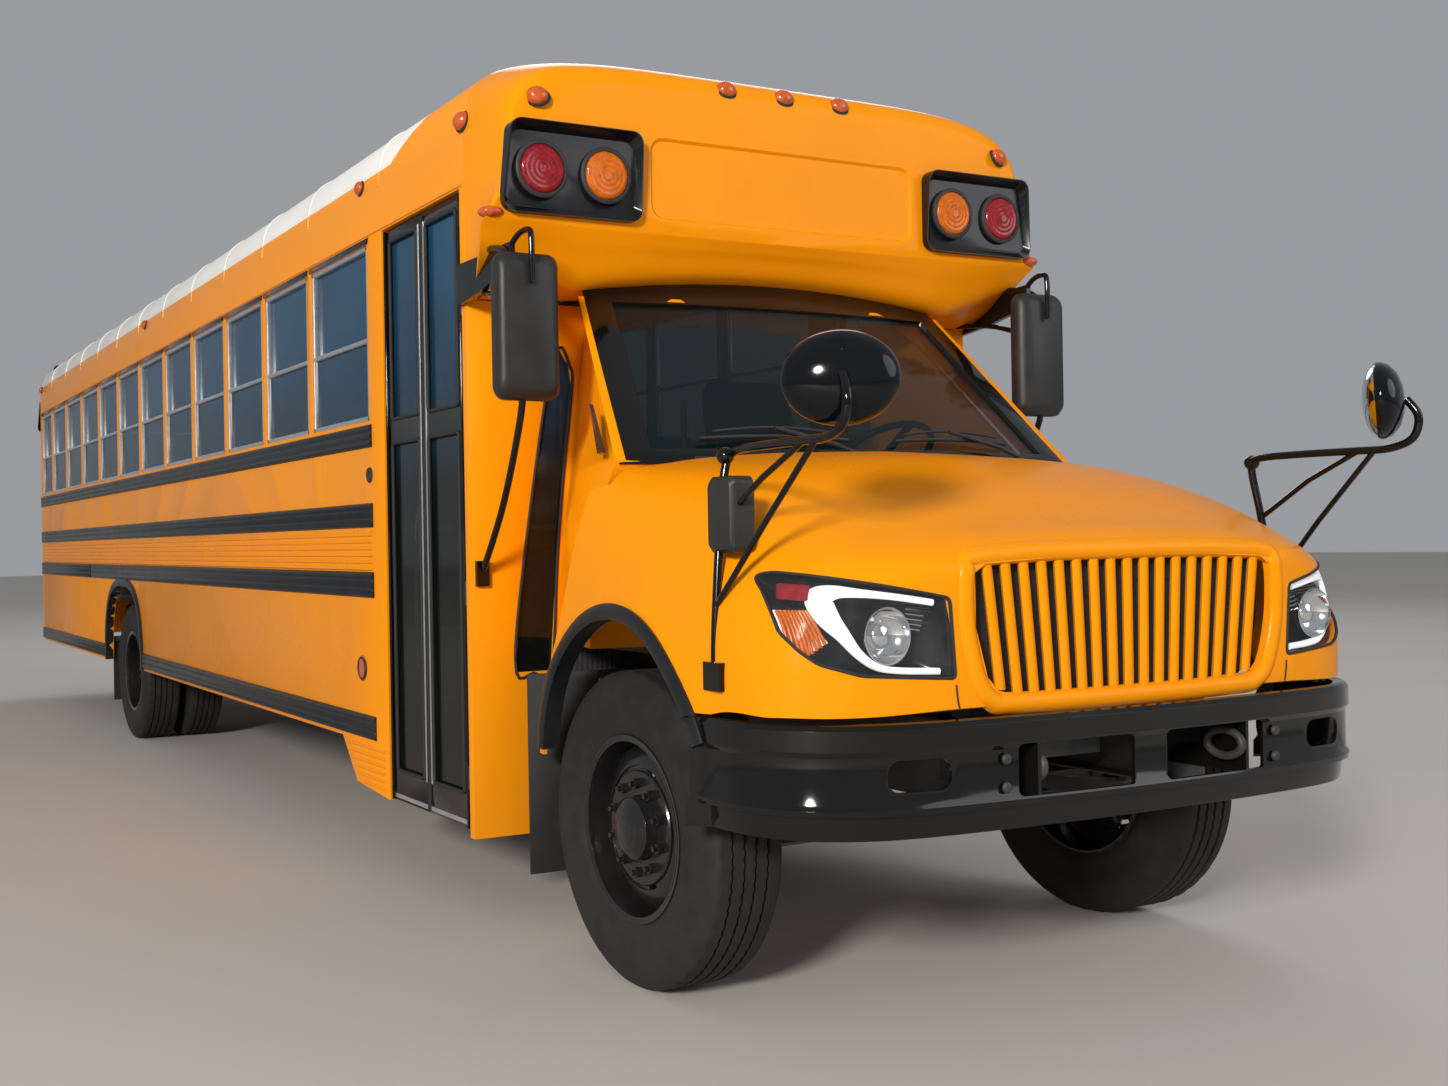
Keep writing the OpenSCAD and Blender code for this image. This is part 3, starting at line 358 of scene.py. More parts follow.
YEL = (0.88, 0.295, 0.002)
DUST = (0.30, 0.25, 0.19, 1)
M = dict(
    yellow=material("bus_yellow", YEL, 0.28, coat=0.06, vary=0.03, scale=1.6, bump=(0.03, 30), dirt=0.06,
                    spec=0.06),
    black=material("gloss_black", (0.004, 0.004, 0.004), 0.10, coat=0.25, spec=0.25, vary=0.2, scale=5,
                   dirt=0.02),
    rail=material("rail_black", (0.012, 0.014, 0.017), 0.32, coat=0.06, spec=0.2, vary=0.25, scale=8,
                  dirt=0.06),
    chassis=material("chassis_black", (0.02, 0.02, 0.021), 0.55, vary=0.35, scale=12, bump=(0.25, 90),
                     dirt=0.25),
    rubber=material("rubber", (0.016, 0.016, 0.017), 0.75, vary=0.2, scale=15, bump=(0.2, 220)),
    tyre=material("tyre_rubber", (0.014, 0.014, 0.014), 0.68, spec=0.25, vary=0.25, scale=14,
                  bump=(0.35, 160), dirt=0.06),
    wheel=material("wheel_black", (0.008, 0.008, 0.009), 0.25, coat=0.3, spec=0.3, vary=0.3, scale=9,
                   bump=(0.05, 70), dirt=0.03),
    # window glass: its blue is a painted sky reflection, graded to near black low down further on
    glass=material("tinted_glass_painted_reflection", (0.014, 0.075, 0.155), 0.06, vary=0.25, scale=1.2, alpha=0.70,
                   rvary=0.03, spec=0.4),
    clearglass=material("screen_glass", (0.003, 0.012, 0.015), 0.05, vary=0.2, scale=1.0, alpha=0.50,
                        rvary=0.02, spec=0.35),
    lens=material("clear_lens", (0.30, 0.33, 0.36), 0.05, vary=0.05, scale=5, alpha=0.06, rvary=0.02,
                  spec=0.5),
    alu=material("sash_aluminium", (0.62, 0.64, 0.66), 0.34, metal=0.9, vary=0.08, scale=20,
                 bump=(0.08, 260)),
    chrome=material("chrome_reflector", (0.80, 0.81, 0.83), 0.12, metal=1.0, vary=0.06, scale=30, rvary=0.05),
    iron=material("painted_casting", (0.09, 0.095, 0.10), 0.6, vary=0.3, scale=20, bump=(0.5, 80)),
    castalu=material("cast_housing", (0.28, 0.29, 0.30), 0.55, metal=0.7, vary=0.2, scale=15,
                     bump=(0.4, 100)),
    core=material("radiator_core", (0.015, 0.015, 0.016), 0.6, vary=0.3, scale=10, bump=(0.8, 60, "Y")),
    pipe=material("exhaust_steel", (0.25, 0.19, 0.15), 0.5, metal=0.8, vary=0.35, scale=6, bump=(0.2, 90)),
    floor_in=material("ribbed_floor", (0.035, 0.035, 0.038), 0.6, vary=0.2, scale=10, bump=(0.7, 14, "Y")),
    plastic=material("grained_plastic", (0.022, 0.022, 0.024), 0.55, vary=0.2, scale=12,
                     bump=(0.35, 420, "grain")),
    housing=material("lamp_housing", (0.006, 0.006, 0.007), 0.22, coat=0.15, spec=0.3, vary=0.3, scale=9),
    amber=material("amber_lens", (0.56, 0.12, 0.004), 0.2, coat=0.15, vary=0.22, scale=40,
                   bump=(0.5, 120, "grain"), emit=0.02, spec=0.3),
    red=material("red_lens", (0.24, 0.006, 0.012), 0.16, coat=0.4, vary=0.25, scale=40,
                 bump=(0.5, 120, "grain"), emit=0.02, spec=0.3),
    clearance=material("marker_amber", (0.50, 0.085, 0.010), 0.2, coat=0.4, vary=0.2, scale=40,
                       bump=(0.3, 150, "grain"), emit=0.04),
    vinyl=material("seat_vinyl", (0.020, 0.034, 0.055), 0.48, vary=0.18, scale=18,
                   bump=(0.55, 520, "grain"), coat=0.05),
    mirror=material("mirror_glass", (0.55, 0.58, 0.60), 0.04, metal=1.0, vary=0.05, scale=3, rvary=0.02),
    grain=material("mirror_housing", (0.020, 0.020, 0.020), 0.42, spec=0.4, vary=0.2, scale=9,
                   bump=(0.3, 380, "grain")),
    bowl=material("mirror_back", (0.003, 0.004, 0.006), 0.12, coat=0.15, spec=0.2, vary=0.3, scale=8),
    sign=material("sign_red", (0.50, 0.010, 0.012), 0.4, vary=0.08, scale=9, bump=(0.35, 300, "grain")),
    signwhite=material("sign_white", (0.85, 0.85, 0.84), 0.4, vary=0.04, scale=9, bump=(0.2, 300, "grain")),
    led=material("lamp_white", (0.92, 0.94, 0.97), 0.22, vary=0.03, scale=9, emit=0.35),
)


def shaded(m):
    """A finish's Principled node, place on the bus, height on the bus and plain colour."""
    nt = m.node_tree.nodes
    place = nt["Texture Coordinate"].outputs["Object"]
    base = nt["Principled BSDF"].inputs["Base Color"].links[0].from_socket
    return nt["Principled BSDF"], place, add_node(m, "SeparateXYZ", {0: place}), base


def roof_material():
    """White crown, yellow coves and front, split by place on the roof along a slanted line."""
    m = material("roof_paint", (0.80, 0.80, 0.78), rough=0.40, vary=0.05, scale=2.0, coat=0.15)
    bsdf, place, xyz, white = shaded(m)
    slope, foot, limit, cove = 2.2, -1.72, -1.48, 3.035
    front = calc(m, "MULTIPLY_ADD", xyz.outputs["Z"], slope, AX / MM + foot - 3.04 * slope)
    front = calc(m, "MINIMUM", front, AX / MM + limit)
    ahead = calc(m, "GREATER_THAN", xyz.outputs["X"], front)
    under = calc(m, "LESS_THAN", xyz.outputs["Z"], cove)
    noise = add_node(m, "TexNoise", {"Vector": place, "Scale": 1.6}).outputs["Fac"]
    ramp = add_node(m, "ValToRGB", {"Fac": noise})
    ramp.color_ramp.elements[0].color = (YEL[0] * 0.96, YEL[1] * 0.96, YEL[2], 1)
    ramp.color_ramp.elements[1].color = (YEL[0], YEL[1] * 1.03, YEL[2], 1)
    paint = blend(m, calc(m, "MAXIMUM", ahead, under), white, ramp.outputs["Color"])
    set_inputs(m, bsdf, {"Base Color": paint})
    return m


M["roof"] = roof_material()


def paint_reflection_on_glass(m):
    """Tinted glass with a painted reflection: sky blue towards the top of the body and nearly black low down."""
    bsdf, place, xyz, blue = shaded(m)
    low, high, dark = 1.65, 2.45, (0.006, 0.008, 0.007, 1)
    height = add_node(m, "MapRange", {"Value": xyz.outputs["Z"], "From Min": low, "From Max": high})
    set_inputs(m, bsdf, {"Base Color": blend(m, height.outputs["Result"], dark, blue)})


paint_reflection_on_glass(M["glass"])


def keep(node, mat, bevel):
    """A CAD node that stays, with a finish and softened edges."""
    o = NODES[node]
    o.data.materials.clear()
    o.data.materials.append(mat)
    for p in o.data.polygons:
        p.use_smooth = True
        p.material_index = 0
    if bevel:
        md = o.modifiers.new("weld", "WELD")
        md.merge_threshold = 0.00005
        add_bevel(o, bevel, 2, 35)


# ------ hood surface
# half sections of (y, z) at each station, from the lower edge to the middle of the top
HOOD_X = [-600, -330, -50, 300, 600, 850, 960, 1015, 1045]
HOOD = [
    [[1125, 690], [1130, 980], [1120, 1250], [1105, 1480], [1070, 1640], [930, 1720], [520, 1765], [0, 1780]],
    [[1140, 690], [1148, 980], [1130, 1270], [1108, 1490], [1066, 1642], [925, 1712], [520, 1750], [0, 1765]],
    [[1170, 690], [1178, 1000], [1150, 1280], [1112, 1490], [1050, 1625], [900, 1688], [520, 1724], [0, 1738]],
    [[1200, 690], [1205, 1050], [1165, 1290], [1100, 1470], [1010, 1585], [850, 1644], [510, 1680], [0, 1694]],
    [[1200, 930], [1200, 1090], [1168, 1270], [1100, 1410], [990, 1510], [810, 1560], [500, 1590], [0, 1602]],
    [[1150, 950], [1148, 1080], [1120, 1220], [1060, 1330], [950, 1405], [790, 1448], [500, 1480], [0, 1492]],
    [[1040, 950], [1038, 1080], [1012, 1200], [965, 1300], [880, 1366], [740, 1405], [480, 1438], [0, 1450]],
    [[900, 952], [895, 1080], [880, 1190], [845, 1285], [790, 1345], [690, 1378], [460, 1405], [0, 1416]],
    [[700, 960], [700, 1080], [695, 1180], [685, 1270], [665, 1325], [620, 1345], [420, 1362], [0, 1372]]]
ARCH = (50.0, 620.0, 570.0)          # middle x, middle z and radius of the front wheel arch


def hood_sections(k, g=0.0):
    """Smooth cross sections, g mm inside the surface."""
    rows = [fine([(x - g, y * (1 - g / 1150.0), z - (60 * g / 15 if z < 951 else g)) for y, z in h], k)
            for x, h in zip(HOOD_X, HOOD)]
    return fine(rows, k)


SEC = hood_sections(10)
SEC_X = np.array([s[0][0] for s in SEC])


def flare(x, z):
    """How far the wheel arch's edge swells outward."""
    d = math.hypot(x - ARCH[0], z - ARCH[1])
    return 20 * smooth(1 - (d - ARCH[2]) / 130.0) if z > 600 else 0.0


def hood_y(x, z):
    """Outside of the hood's side at a place along it and a height."""
    i = int(np.clip(np.searchsorted(SEC_X, x), 1, len(SEC) - 1))
    t = (x - SEC_X[i - 1]) / (SEC_X[i] - SEC_X[i - 1])
    s = SEC[i - 1] * (1 - t) + SEC[i] * t
    k = int(np.argmax(s[:, 2] > z)) if z < s[:, 2].max() else len(s) - 1
    if k == 0:
        return s[0][1]
    u = (z - s[k - 1][2]) / max(1e-6, s[k][2] - s[k - 1][2])
    return s[k - 1][1] * (1 - u) + s[k][1] * u


def hood_front(y, z):
    """How far forward the hood's nose reaches at a width and a height."""
    a, b = 500.0, 1044.9
    for _ in range(22):
        m = (a + b) / 2
        if hood_y(m, z) > abs(y) and z < np.interp(m, SEC_X, [s[-1][2] for s in SEC]):
            a = m
        else:
            b = m
    return a


GRILLE = [(0, 1368), (300, 1366), (560, 1354), (600, 1330), (600, 1180), (560, 1040), (520, 1000), (440, 985),
          (0, 980)]
LAMP = [(692, 1264), (1092, 1342), (1116, 1330), (1126, 1250), (1128, 1180), (1100, 1130), (1060, 1094), (960, 1062),
        (676, 1044)]


def hood_solid(g):
    """The whole hood as one closed solid, g mm inside its surface."""
    rings = []
    for s in hood_sections(8, g):
        half = [(p[0], p[1] + (flare(p[0], p[2]) if p[1] > 900 else 0), p[2]) for p in s]
        rings.append(half + [(x, -y, z) for x, y, z in reversed(half[:-1])])
    return Geo().loft(rings)


# openings and then the inside, cut out of the solid hood
rear_cut = Geo().prism([(-45, 2000), (-58, 1690), (-150, 1676), (-156, 1622), (-262, 1606), (-370, 1270),
                        (-560, 740), (-560, 0), (-900, 0), (-900, 2000)], -1400, 1400, "y")
low_cut = Geo().box((500, -1400, 0), (1300, 1400, 942))
arch_cut = Geo()
for s in SIDES:
    arch_cut.cyl((ARCH[0], s * 700, ARCH[1]), (ARCH[0], s * 1400, ARCH[1]), ARCH[2], n=128)
lamp_cut = Geo().prism(poly(LAMP, 16), 560, 1200, "x").mirror()
grille_cut = Geo().prism(whole(GRILLE), 900, 1200, "x")
HOOD_OUT = hood_solid(0)
shell = boolean(HOOD_OUT, [rear_cut, low_cut, arch_cut, lamp_cut, grille_cut, hood_solid(14)])
shell.obj("hood_shell", "yellow", "hood", "yellow", angle=38, replaces=["hood"])

# rubber lips round the front wheel arches
seal = Geo()
line = []
for k in range(61):
    a = math.radians(-14 + k * 222 / 60)
    n = (math.cos(a), math.sin(a))
    x, z = ARCH[0] + (ARCH[2] + 4) * n[0], ARCH[1] + (ARCH[2] + 4) * n[1]
    if x <= 590 and z >= 700:
        line.append((x, z, n, hood_y(x, z) + flare(x, z)))
for s in SIDES:
    arch_lip(seal, s, line, [(-6, -60), (-8, 6), (4, 13), (34, 10), (44, 1), (40, -12), (2, -14), (1, -60)])
seal.obj("wheel_arch_lips", "rail", "hood", "black", angle=50)

# raised bezel, slats and dark screen of the grille
bez = Geo()
path = loop(whole([(0, 1386), (300, 1384), (575, 1372), (628, 1336), (630, 1180), (592, 1034), (540, 976), (450, 962),
                   (0, 958)]), 6)
rings = []
for i, p in enumerate(path):
    n = normal_at(path, i, closed=True)
    x = hood_front(min(abs(p[0]), 690), max(p[1], 975)) - 2
    prof = [(-30, -18), (-26, 6), (-14, 15), (0, 17), (14, 14), (26, 5), (32, -12)]
    rings.append([(x + h, p[0] + n[0] * w, p[1] + n[1] * w) for w, h in prof])
rings.append(rings[0])
bez.loft(rings, caps=False)
bez.obj("grille_bezel", "yellow", "hood", "yellow", angle=60)

slats = Geo()
for i in range(-8, 9):
    y = i * 68.5
    top = float(np.interp(abs(y), [0, 300, 560, 600], [1366, 1362, 1350, 1322])) + 4
    low = float(np.interp(abs(y), [0, 440, 520, 560, 600], [980, 984, 994, 1010, 1100])) - 4
    rings = []
    for k in range(13):
        z = low + (top - low) * k / 12
        yy = y * (0.91 + 0.09 * (z - 980) / 390)
        x = hood_front(min(abs(yy), 640), max(z, 965)) - 8
        half = [(-16, -12), (-5, -17), (0, -14)]
        rings.append([(x + u, yy + w, z) for u, w in half + [(2, 0)] + [(u, -w) for u, w in reversed(half)]])
    slats.loft(rings)
slats.obj("grille_slats", "yellow", "hood", "yellow", angle=55, replaces=["grille"])
back = Geo().prism(whole([(0, 1372), (560, 1360), (610, 1330), (610, 1180), (570, 1035), (520, 990), (0, 972)]),
                   985, 992, "x")
for k in range(9):
    back.box((992, -560, 1010 + k * 40), (996, 560, 1018 + k * 40))
back.obj("grille_screen", "core", "hood", "black")

# shut lines from the lamps down to the nose's lower edge
lines = Geo()
for s in SIDES:
    pts = [(hood_front(y, z) + 1, s * y, z) for y, z in ((674, 1026), (672, 1000), (668, 975), (664, 962))]
    lines.tube(pts, 2.6, n=8)
lines.obj("hood_shut_lines", "rubber", "hood", "black")


# ------ headlamps
def lamp_at(y, z, depth):
    """A point behind the hood's front surface."""
    return (hood_front(y, z) - depth, y, z)


def lamp_plane(y, z):
    """Slanted plane that the lamp's housing stays behind."""
    return 1024 - 0.479 * (y - 692) - 0.17 * (z - 1262)


def shrunk(t):
    """The lamp's outline drawn in towards its middle."""
    cy, cz = 900, 1165
    return [(cy + (y - cy) * t, cz + (z - cz) * t) for y, z in poly(LAMP, 16)]


lens = Geo()
n = len(shrunk(1))
rings = [[lamp_at(y, z, 3) for y, z in shrunk(t)] for t in (1.0, 0.93, 0.8, 0.6, 0.4, 0.2, 0.05)]
lens.loft(rings, caps=False)
k = len(lens.v)
lens.v.append(lamp_at(900, 1165, 3))
lens.f += [[k - n + i, k - n + (i + 1) % n, k] for i in range(n)]
lens.mirror().obj("headlamp_lenses", "lens", "hood", "lamp_glass", angle=60)

box_ = Geo()
box_.loft([[(min(lamp_plane(y, z) + 6, hood_front(y, z)) - d, y, z) for y, z in shrunk(t)]
           for t, d in ((1.0, 5), (0.97, 20), (0.93, 58), (0.5, 74), (0.05, 76))], caps=False)
for w in range(5):
    z = 1262 - w * 9
    box_.tube([lamp_at(y, z + 18 * (y - 720) / 300, 26) for y in range(735, 905, 24)], 2.6, n=6)
box_.mirror().obj("headlamp_housings", "housing", "hood", "black", angle=60, replaces=["headlamps"])

edge = Geo().tube([lamp_at(y, z, 0) for y, z in shrunk(1)], 5, n=8, closed=True).mirror()
edge.obj("headlamp_seals", "rubber", "hood", "black", angle=60)

cpath = fine([(732, 1252), (830, 1268), (930, 1281), (996, 1286), (1028, 1266), (1018, 1218), (988, 1170),
              (950, 1118), (900, 1082), (830, 1070), (716, 1064)], 5)
led = Geo()
rings = []
for i, p in enumerate(cpath):
    w = 9 + 19 * math.exp(-((i / (len(cpath) - 1) - 0.44) / 0.17) ** 2)
    rings.append([lamp_at(*(p + normal_at(cpath, i) * w * a), d)
                  for a, d in ((-1, 30), (-1, 16), (-0.6, 12), (0.6, 12), (1, 16), (1, 30))])
led.loft(rings)
led.mirror().obj("headlamp_light_guides", "led", "hood", "lamp_glass", angle=60)

amb = Geo()
q = [(1118, 1240), (1062, 1236), (1022, 1150), (1080, 1112), (1118, 1170)]
amb.loft([[lamp_at(y, z, 40) for y, z in q], [lamp_at(y, z, 24) for y, z in q]])
for k in range(9):
    t = (k + 0.5) / 9
    y0, z0 = 1060 + 56 * t, 1238
    y1, z1 = 1026 + 88 * t, 1150 - 34 * min(1, 2.2 * t) + 40 * max(0, t - 0.55) / 0.45
    amb.tube([lamp_at(y0 + (y1 - y0) * j / 6, z0 + (z1 - z0) * j / 6, 21) for j in range(7)], 5.6, n=10)
amb.mirror().obj("headlamp_turn_lamps", "amber", "hood", "amber_lens", bevel=4)
cor = Geo()
q = [(1088, 1312), (1040, 1306), (1056, 1262), (1104, 1268)]
cor.loft([[lamp_at(y, z, 30) for y, z in q], [lamp_at(y, z, 13) for y, z in q]])
cor.mirror().obj("headlamp_corner_lamps", "red", "hood", "red_lens", bevel=4)

bowl = Geo()
c = Vector((hood_front(872, 1165) - 66, 872, 1165))
prof = [(8, 0), (30, 3), (52, 14), (68, 32), (75, 50), (79, 50), (72, 30), (55, 10), (30, -3), (8, -6), (8, 0)]
bowl.turned(prof, c, n=48, axis="x")
prof = [(0.5, 34), (22, 32), (34, 24), (38, 12), (38, 2), (0.5, 2)]
bowl.turned(prof, c, n=36, axis="x")
bowl.mirror().obj("headlamp_reflectors", "chrome", "hood", "lamp_glass", angle=40)
fins = Geo()
for k in range(5):
    fins.tube([lamp_at(742 + 4 * k, 1228 - 13 * k, 40), lamp_at(800 + 2 * k, 1236 - 13 * k, 40)], 3, n=6)
fins.mirror().obj("headlamp_fins", "chrome", "hood", "lamp_glass", angle=40)


# ------ front cap
EAVE, RISE, BULK, CAPX = 2790.0, 500.0, -963.0, -600.0
SQUARE = 2 / 5.2                     # exponent of the roof's squarish arch
ROOF = [(HALF * max(0.0, math.cos(a)) ** SQUARE, EAVE + RISE * math.sin(a) ** SQUARE)
        for a in [math.radians(2 * i) for i in range(46)]]
# station, underside in the middle and at the eave, half width at the eave, drop of the roof, narrowing, arch below
CAP = [(BULK, 2350, 2352, 1219, 0, 0, 50), (-880, 2352, 2380, 1226, 18, 0, 60), (-800, 2354, 2420, 1245, 40, 1, 72),
       (-705, 2362, 2500, 1275, 70, 4, 85), (-640, 2480, 2562, 1300, 100, 9, 42),
       (-610, 2550, 2580, 1297, 136, 14, None), (CAPX, 2575, 2590, 1290, 173, 20, 0)]
UNDER = [(r[0], r[6]) for r in CAP if r[6] is not None]


def cap_ring(r, g):
    """Section of the cap at a station, g mm inside its surface."""
    x, zm, ze, yb, drop, nar = r
    top = [(max(y * (1 - (nar + g) / HALF), 0), z - drop * (0.35 + 0.65 * (z - EAVE) / RISE) - g)
           for y, z in reversed(ROOF)]
    e = top[-1]
    mid = [(e[0] + (yb - g - e[0]) * t, e[1] + (ze - e[1]) * t) for t in (0.28, 0.55, 0.8)]
    up = float(np.interp(x, *zip(*UNDER)))
    low = [(w - (g if w == 900 else 0), zm + g + up * (1 - 0.8 * (w / 900) ** 2)) for w in range(900, -1, -180)]
    half = top + mid + [(yb - g, ze + g)] + low
    return [(x, y, z) for y, z in half] + [(x, -y, z) for y, z in reversed(half[1:-1])]


cap_o = Geo().loft([cap_ring(r, 0) for r in fine([r[:6] for r in CAP], 5)])
cap_i = Geo().loft([cap_ring((r[0] - 30, *r[1:]), 28) for r in fine([r[:6] for r in CAP], 2)])
panel = Geo().loft([[(CAPX - 9, y, z) for y, z in rounded(-610, 610, 2640, 2925, 50)],
                    [(CAPX + 12, y, z) for y, z in rounded(-634, 634, 2616, 2950, 62)]])
cap = boolean(cap_o, [cap_i, panel])
cap.obj("front_cap_shell", "yellow", "body", "yellow", angle=32, replaces=["front_cap"])

# warning lamp housings: hooded black frames round two ribbed lamps
hous, reds, ambs, rims = Geo(), Geo(), Geo(), Geo()


def warning(x, d):
    """Lamps on the face at x, looking along d."""
    lamp_z, red_y, amber_y = 2766, 1085, 822
    for s in SIDES:
        outer, inner = [[(y - (cut if z > 2850 and y > 1100 else 0), z) for y, z in rounded(*corners)]
                        for cut, corners in ((22, (676, 1243, 2604, 2932, 46)), (20, (700, 1222, 2628, 2900, 40)))]
        hood_x = [x + d * 30 + d * max(0, z - 2700) * 0.10 for y, z in outer]
        pane = [(x + d * 10, s * y, z) for y, z in inner]
        hous.loft([[(x - d * 4, s * y, z) for y, z in outer],
                   [(u, s * y, z) for u, (y, z) in zip(hood_x, outer)],
                   [(u, s * (y * 0.985 + 14), z * 0.985 + 41) for u, (y, z) in zip(hood_x, outer)],
                   pane], caps=False)
        hous.add(pane, [range(len(pane))])
        for y, g in ((red_y, reds), (amber_y, ambs)):
            c = (x + d * 12, s * y, lamp_z)
            ring = [(86, -4), (103, -4), (104, 10), (98, 15), (90, 15), (86, 8), (86, -4)]
            rims.turned(ring, c, n=56, axis="x", s=d)
            prof = [(88, 0), (88, 10), (84, 17)]
            for j in range(9):
                r = 80 - j * 9
                prof += [(r, 20 + (1 - (r / 88) ** 2) * 7 + (1.8 if j % 2 else -0.6))]
            prof += [(0.5, 28), (0.5, 0), (88, 0)]
            g.turned(prof, c, n=56, axis="x", s=d)
            for a in angles(24):
                g.tube([(c[0] + d * h, s * y + r * math.cos(a), lamp_z + r * math.sin(a))
                        for h, r in ((17.5, 84), (25.5, 34))], 2.0, n=5)


warning(CAPX, 1)
warning(BACK, -1)
hous.obj("warning_lamp_hoods", "housing", "body", "lamp_housing", angle=40, replaces=["warning_lights"])
rims.obj("warning_lamp_rims", "plastic", "body", "lamp_housing", angle=40)
reds.obj("warning_lamps_red", "red", "body", "red_lens", angle=28)
ambs.obj("warning_lamps_amber", "amber", "body", "amber_lens", angle=28)


def roof_z(y):
    """Height of the roof's outside at a width."""
    return float(np.interp(abs(y), [p[0] for p in reversed(ROOF)], [p[1] for p in reversed(ROOF)]))


marks, bases = Geo(), Geo()


def marker(c, direction, r=36, h=30):
    """A domed marker lamp on its rubber base."""
    d = Vector(direction).normalized()
    q = d.to_track_quat("X", "Z").to_matrix()
    bases.ball(Vector(c) - d * 1, r * 1.16, sx=0.34, sy=1.25, n=20, m=6, rot=q, half=True)
    marks.ball(Vector(c) + d * 6, r, sx=h / r, sy=1.15, n=24, m=8, rot=q, half=True)


for y in (-269, 0, 269):
    marker((-620, y, 3152), (0.8, 0, 0.6))
    marker((BACK + 60, y, roof_z(y) - 2), (-0.7, 0, 0.7))
for s in SIDES:
    marker((-602, s * 1090, 3028), (0.9, s * 0.3, 0.35))
    marker((BACK + 60, s * 1050, roof_z(1050) - 2), (-0.7, s * 0.3, 0.62))
    marks.ball((-620, s * 1270, 2603), 54, sx=0.75, sy=0.9, sz=0.42, n=32, m=14)
    marker((-972, s * 1216, 3020), (0.1, s * 0.95, 0.2))
    for x in (-2086, -6490, BACK + 106):
        marker((x, s * 1217, 3010), (0, s * 0.98, 0.15), r=30, h=22)
marks.obj("marker_lamps", "clearance", "body", "amber_lens", angle=50, replaces=["marker_lights"])
bases.obj("marker_lamp_bases", "rubber", "body", "black", angle=50)

# ------ body sides
SILL, HEAD = 1979.0, 2747.0          # lower and upper edge of the side windows
FIRST, WINX = -2021.0, -2829.0       # front end of the first window, middle of its rear pillar
PITCH, PIL = 778.0, 70.0             # window pitch and pillar width
REFLECTOR = (-2153, 886)             # x and z of the side reflectors
WIN = []                             # rear and front end of each side window
for i in range(12):
    x0 = BACK + 110 if i == 11 else WINX - i * PITCH + PIL / 2
    x1 = FIRST if i == 0 else WINX - (i - 1) * PITCH - PIL / 2
    WIN.append((x0, x1))

ribs, riv, drip_and_painted_shadow, seams = Geo(), Geo(), Geo(), Geo()

# corrugated belt between the second and third rails
z = 1330.0
prof = [(HALF - 2, 1318)]
while z < 1500:
    prof += [(HALF + 0.5, z - 9), (HALF + 7, z - 4), (HALF + 7, z + 4), (HALF + 0.5, z + 9)]
    z += 30
prof += [(HALF - 2, 1509)]
ribs.prism(prof, BACK + 30, -2000, "x").mirror()


def rivet(x, y, z, s):
    """A low pointed head standing out to side s."""
    q = [(x + 4.2 * math.cos(a), y + s * 0.2, z + 4.2 * math.sin(a)) for a in angles(6)]
    riv.add(q + [(x, y + s * 2.6, z)], [(i, (i + 1) % 6, 6) for i in range(6)])


for s in SIDES:
    for z in (1970, 1849, 1640, 1497, 1330, 1188, 702):
        for x in np.linspace(BACK + 60, -2010, 84):
            if z == 702 and abs(x - REAR) < 740:
                continue
            rivet(x, s * (HALF + (7 if z in (1497, 1330) else 0)), z, s)
    for a, b in WIN:
        for k in range(9):
            rivet(a - PIL / 2, s * HALF, SILL + 20 + k * (HEAD - SILL - 40) / 8, s)
        # drip strip over each window, made black: a painted shadow under the drip
        section = (16, 1, 2), (4, 10, 4), (4, 7, 16), (30, 1, 30)
        drip_and_painted_shadow.loft([[(x + d * u, s * (HALF + w), HEAD + h) for u, w, h in section] for x, d in ((a, -1), (b, 1))])
    seams.tube([(BACK + 40, s * (HALF + 1), 2786), (BULK - 20, s * (HALF + 1), 2786)], 5, n=8)  # gutter
for x in [BULK - 900] + [WINX - i * PITCH for i in range(12)]:
    if x >= BACK + 60:
        arch = [(x, y, z + 1) for y, z in ROOF[2:]]
        seams.tube(arch + [(x, -y, z) for x, y, z in reversed(arch[:-1])], 5, n=6)
ribs.obj("side_corrugation", "yellow", "body", "yellow", angle=50)
riv.obj("body_rivets", "yellow", "body", "yellow", angle=80)
drip_and_painted_shadow.obj("window_drips_painted_shadow", "black", "body", "black", angle=40)
seams.obj("roof_bow_seams", "roof", "body", "white", angle=60)

# rear wheel arch lips, apron ribs and the small fittings on the curb side
lips = Geo()
pts = []
for k in range(33):
    a = math.pi * (1 - k / 32)
    pts.append((REAR + math.copysign(640 * abs(math.cos(a)) ** 0.72, math.cos(a)), 560 + 600 * math.sin(a) ** 0.72))
line = [(*p, normal_at(pts, i), HALF) for i, p in enumerate(pts)]
for s in SIDES:
    arch_lip(lips, s, line, [(-2, -45), (-4, 12), (8, 17), (46, 13), (56, 1), (3, -2), (3, -45)])
lips.obj("rear_arch_lips", "rail", "body", "black", angle=50)

fit = Geo()
for k in range(6):
    z = 380 + k * 32
    x0 = -2250 - (z - 370) * 187 / 190 + 26
    fit.tube([(x0, -HALF - 1, z), (-1880, -HALF - 1, z)], 6, n=8)
fit.obj("apron_ribs", "yellow", "body", "yellow", angle=60)
# amber side reflectors in the marker lamps' finish; its glow on them is a painted glow, as they are no lamps
reflectors_painted_glow = Geo()
for s in SIDES:
    reflectors_painted_glow.ball((REFLECTOR[0], s * (HALF + 1), REFLECTOR[1]), 46, sx=0.22, sz=1.3, n=28, m=8,
             rot=Matrix.Rotation(s * math.pi / 2, 3, "Z"), half=True)
reflectors_painted_glow.obj("side_reflectors_painted_glow", "clearance", "body", "amber_lens", angle=40)
cup = Geo()
cup.turned([(0.5, 0), (12, 0), (26, 2), (30, 6), (34, 3), (34, -2), (0.5, -2)], (-2022, -HALF - 2, 1741), n=36, s=-1)
for s in SIDES:
    ring = [(40, -2), (53, -2), (53, 7), (46, 11), (40, 7), (40, -2)]
    cup.turned(ring, (REFLECTOR[0], s * HALF, REFLECTOR[1]), n=40, s=s)
cup.obj("side_fittings", "plastic", "body", "black", angle=40)

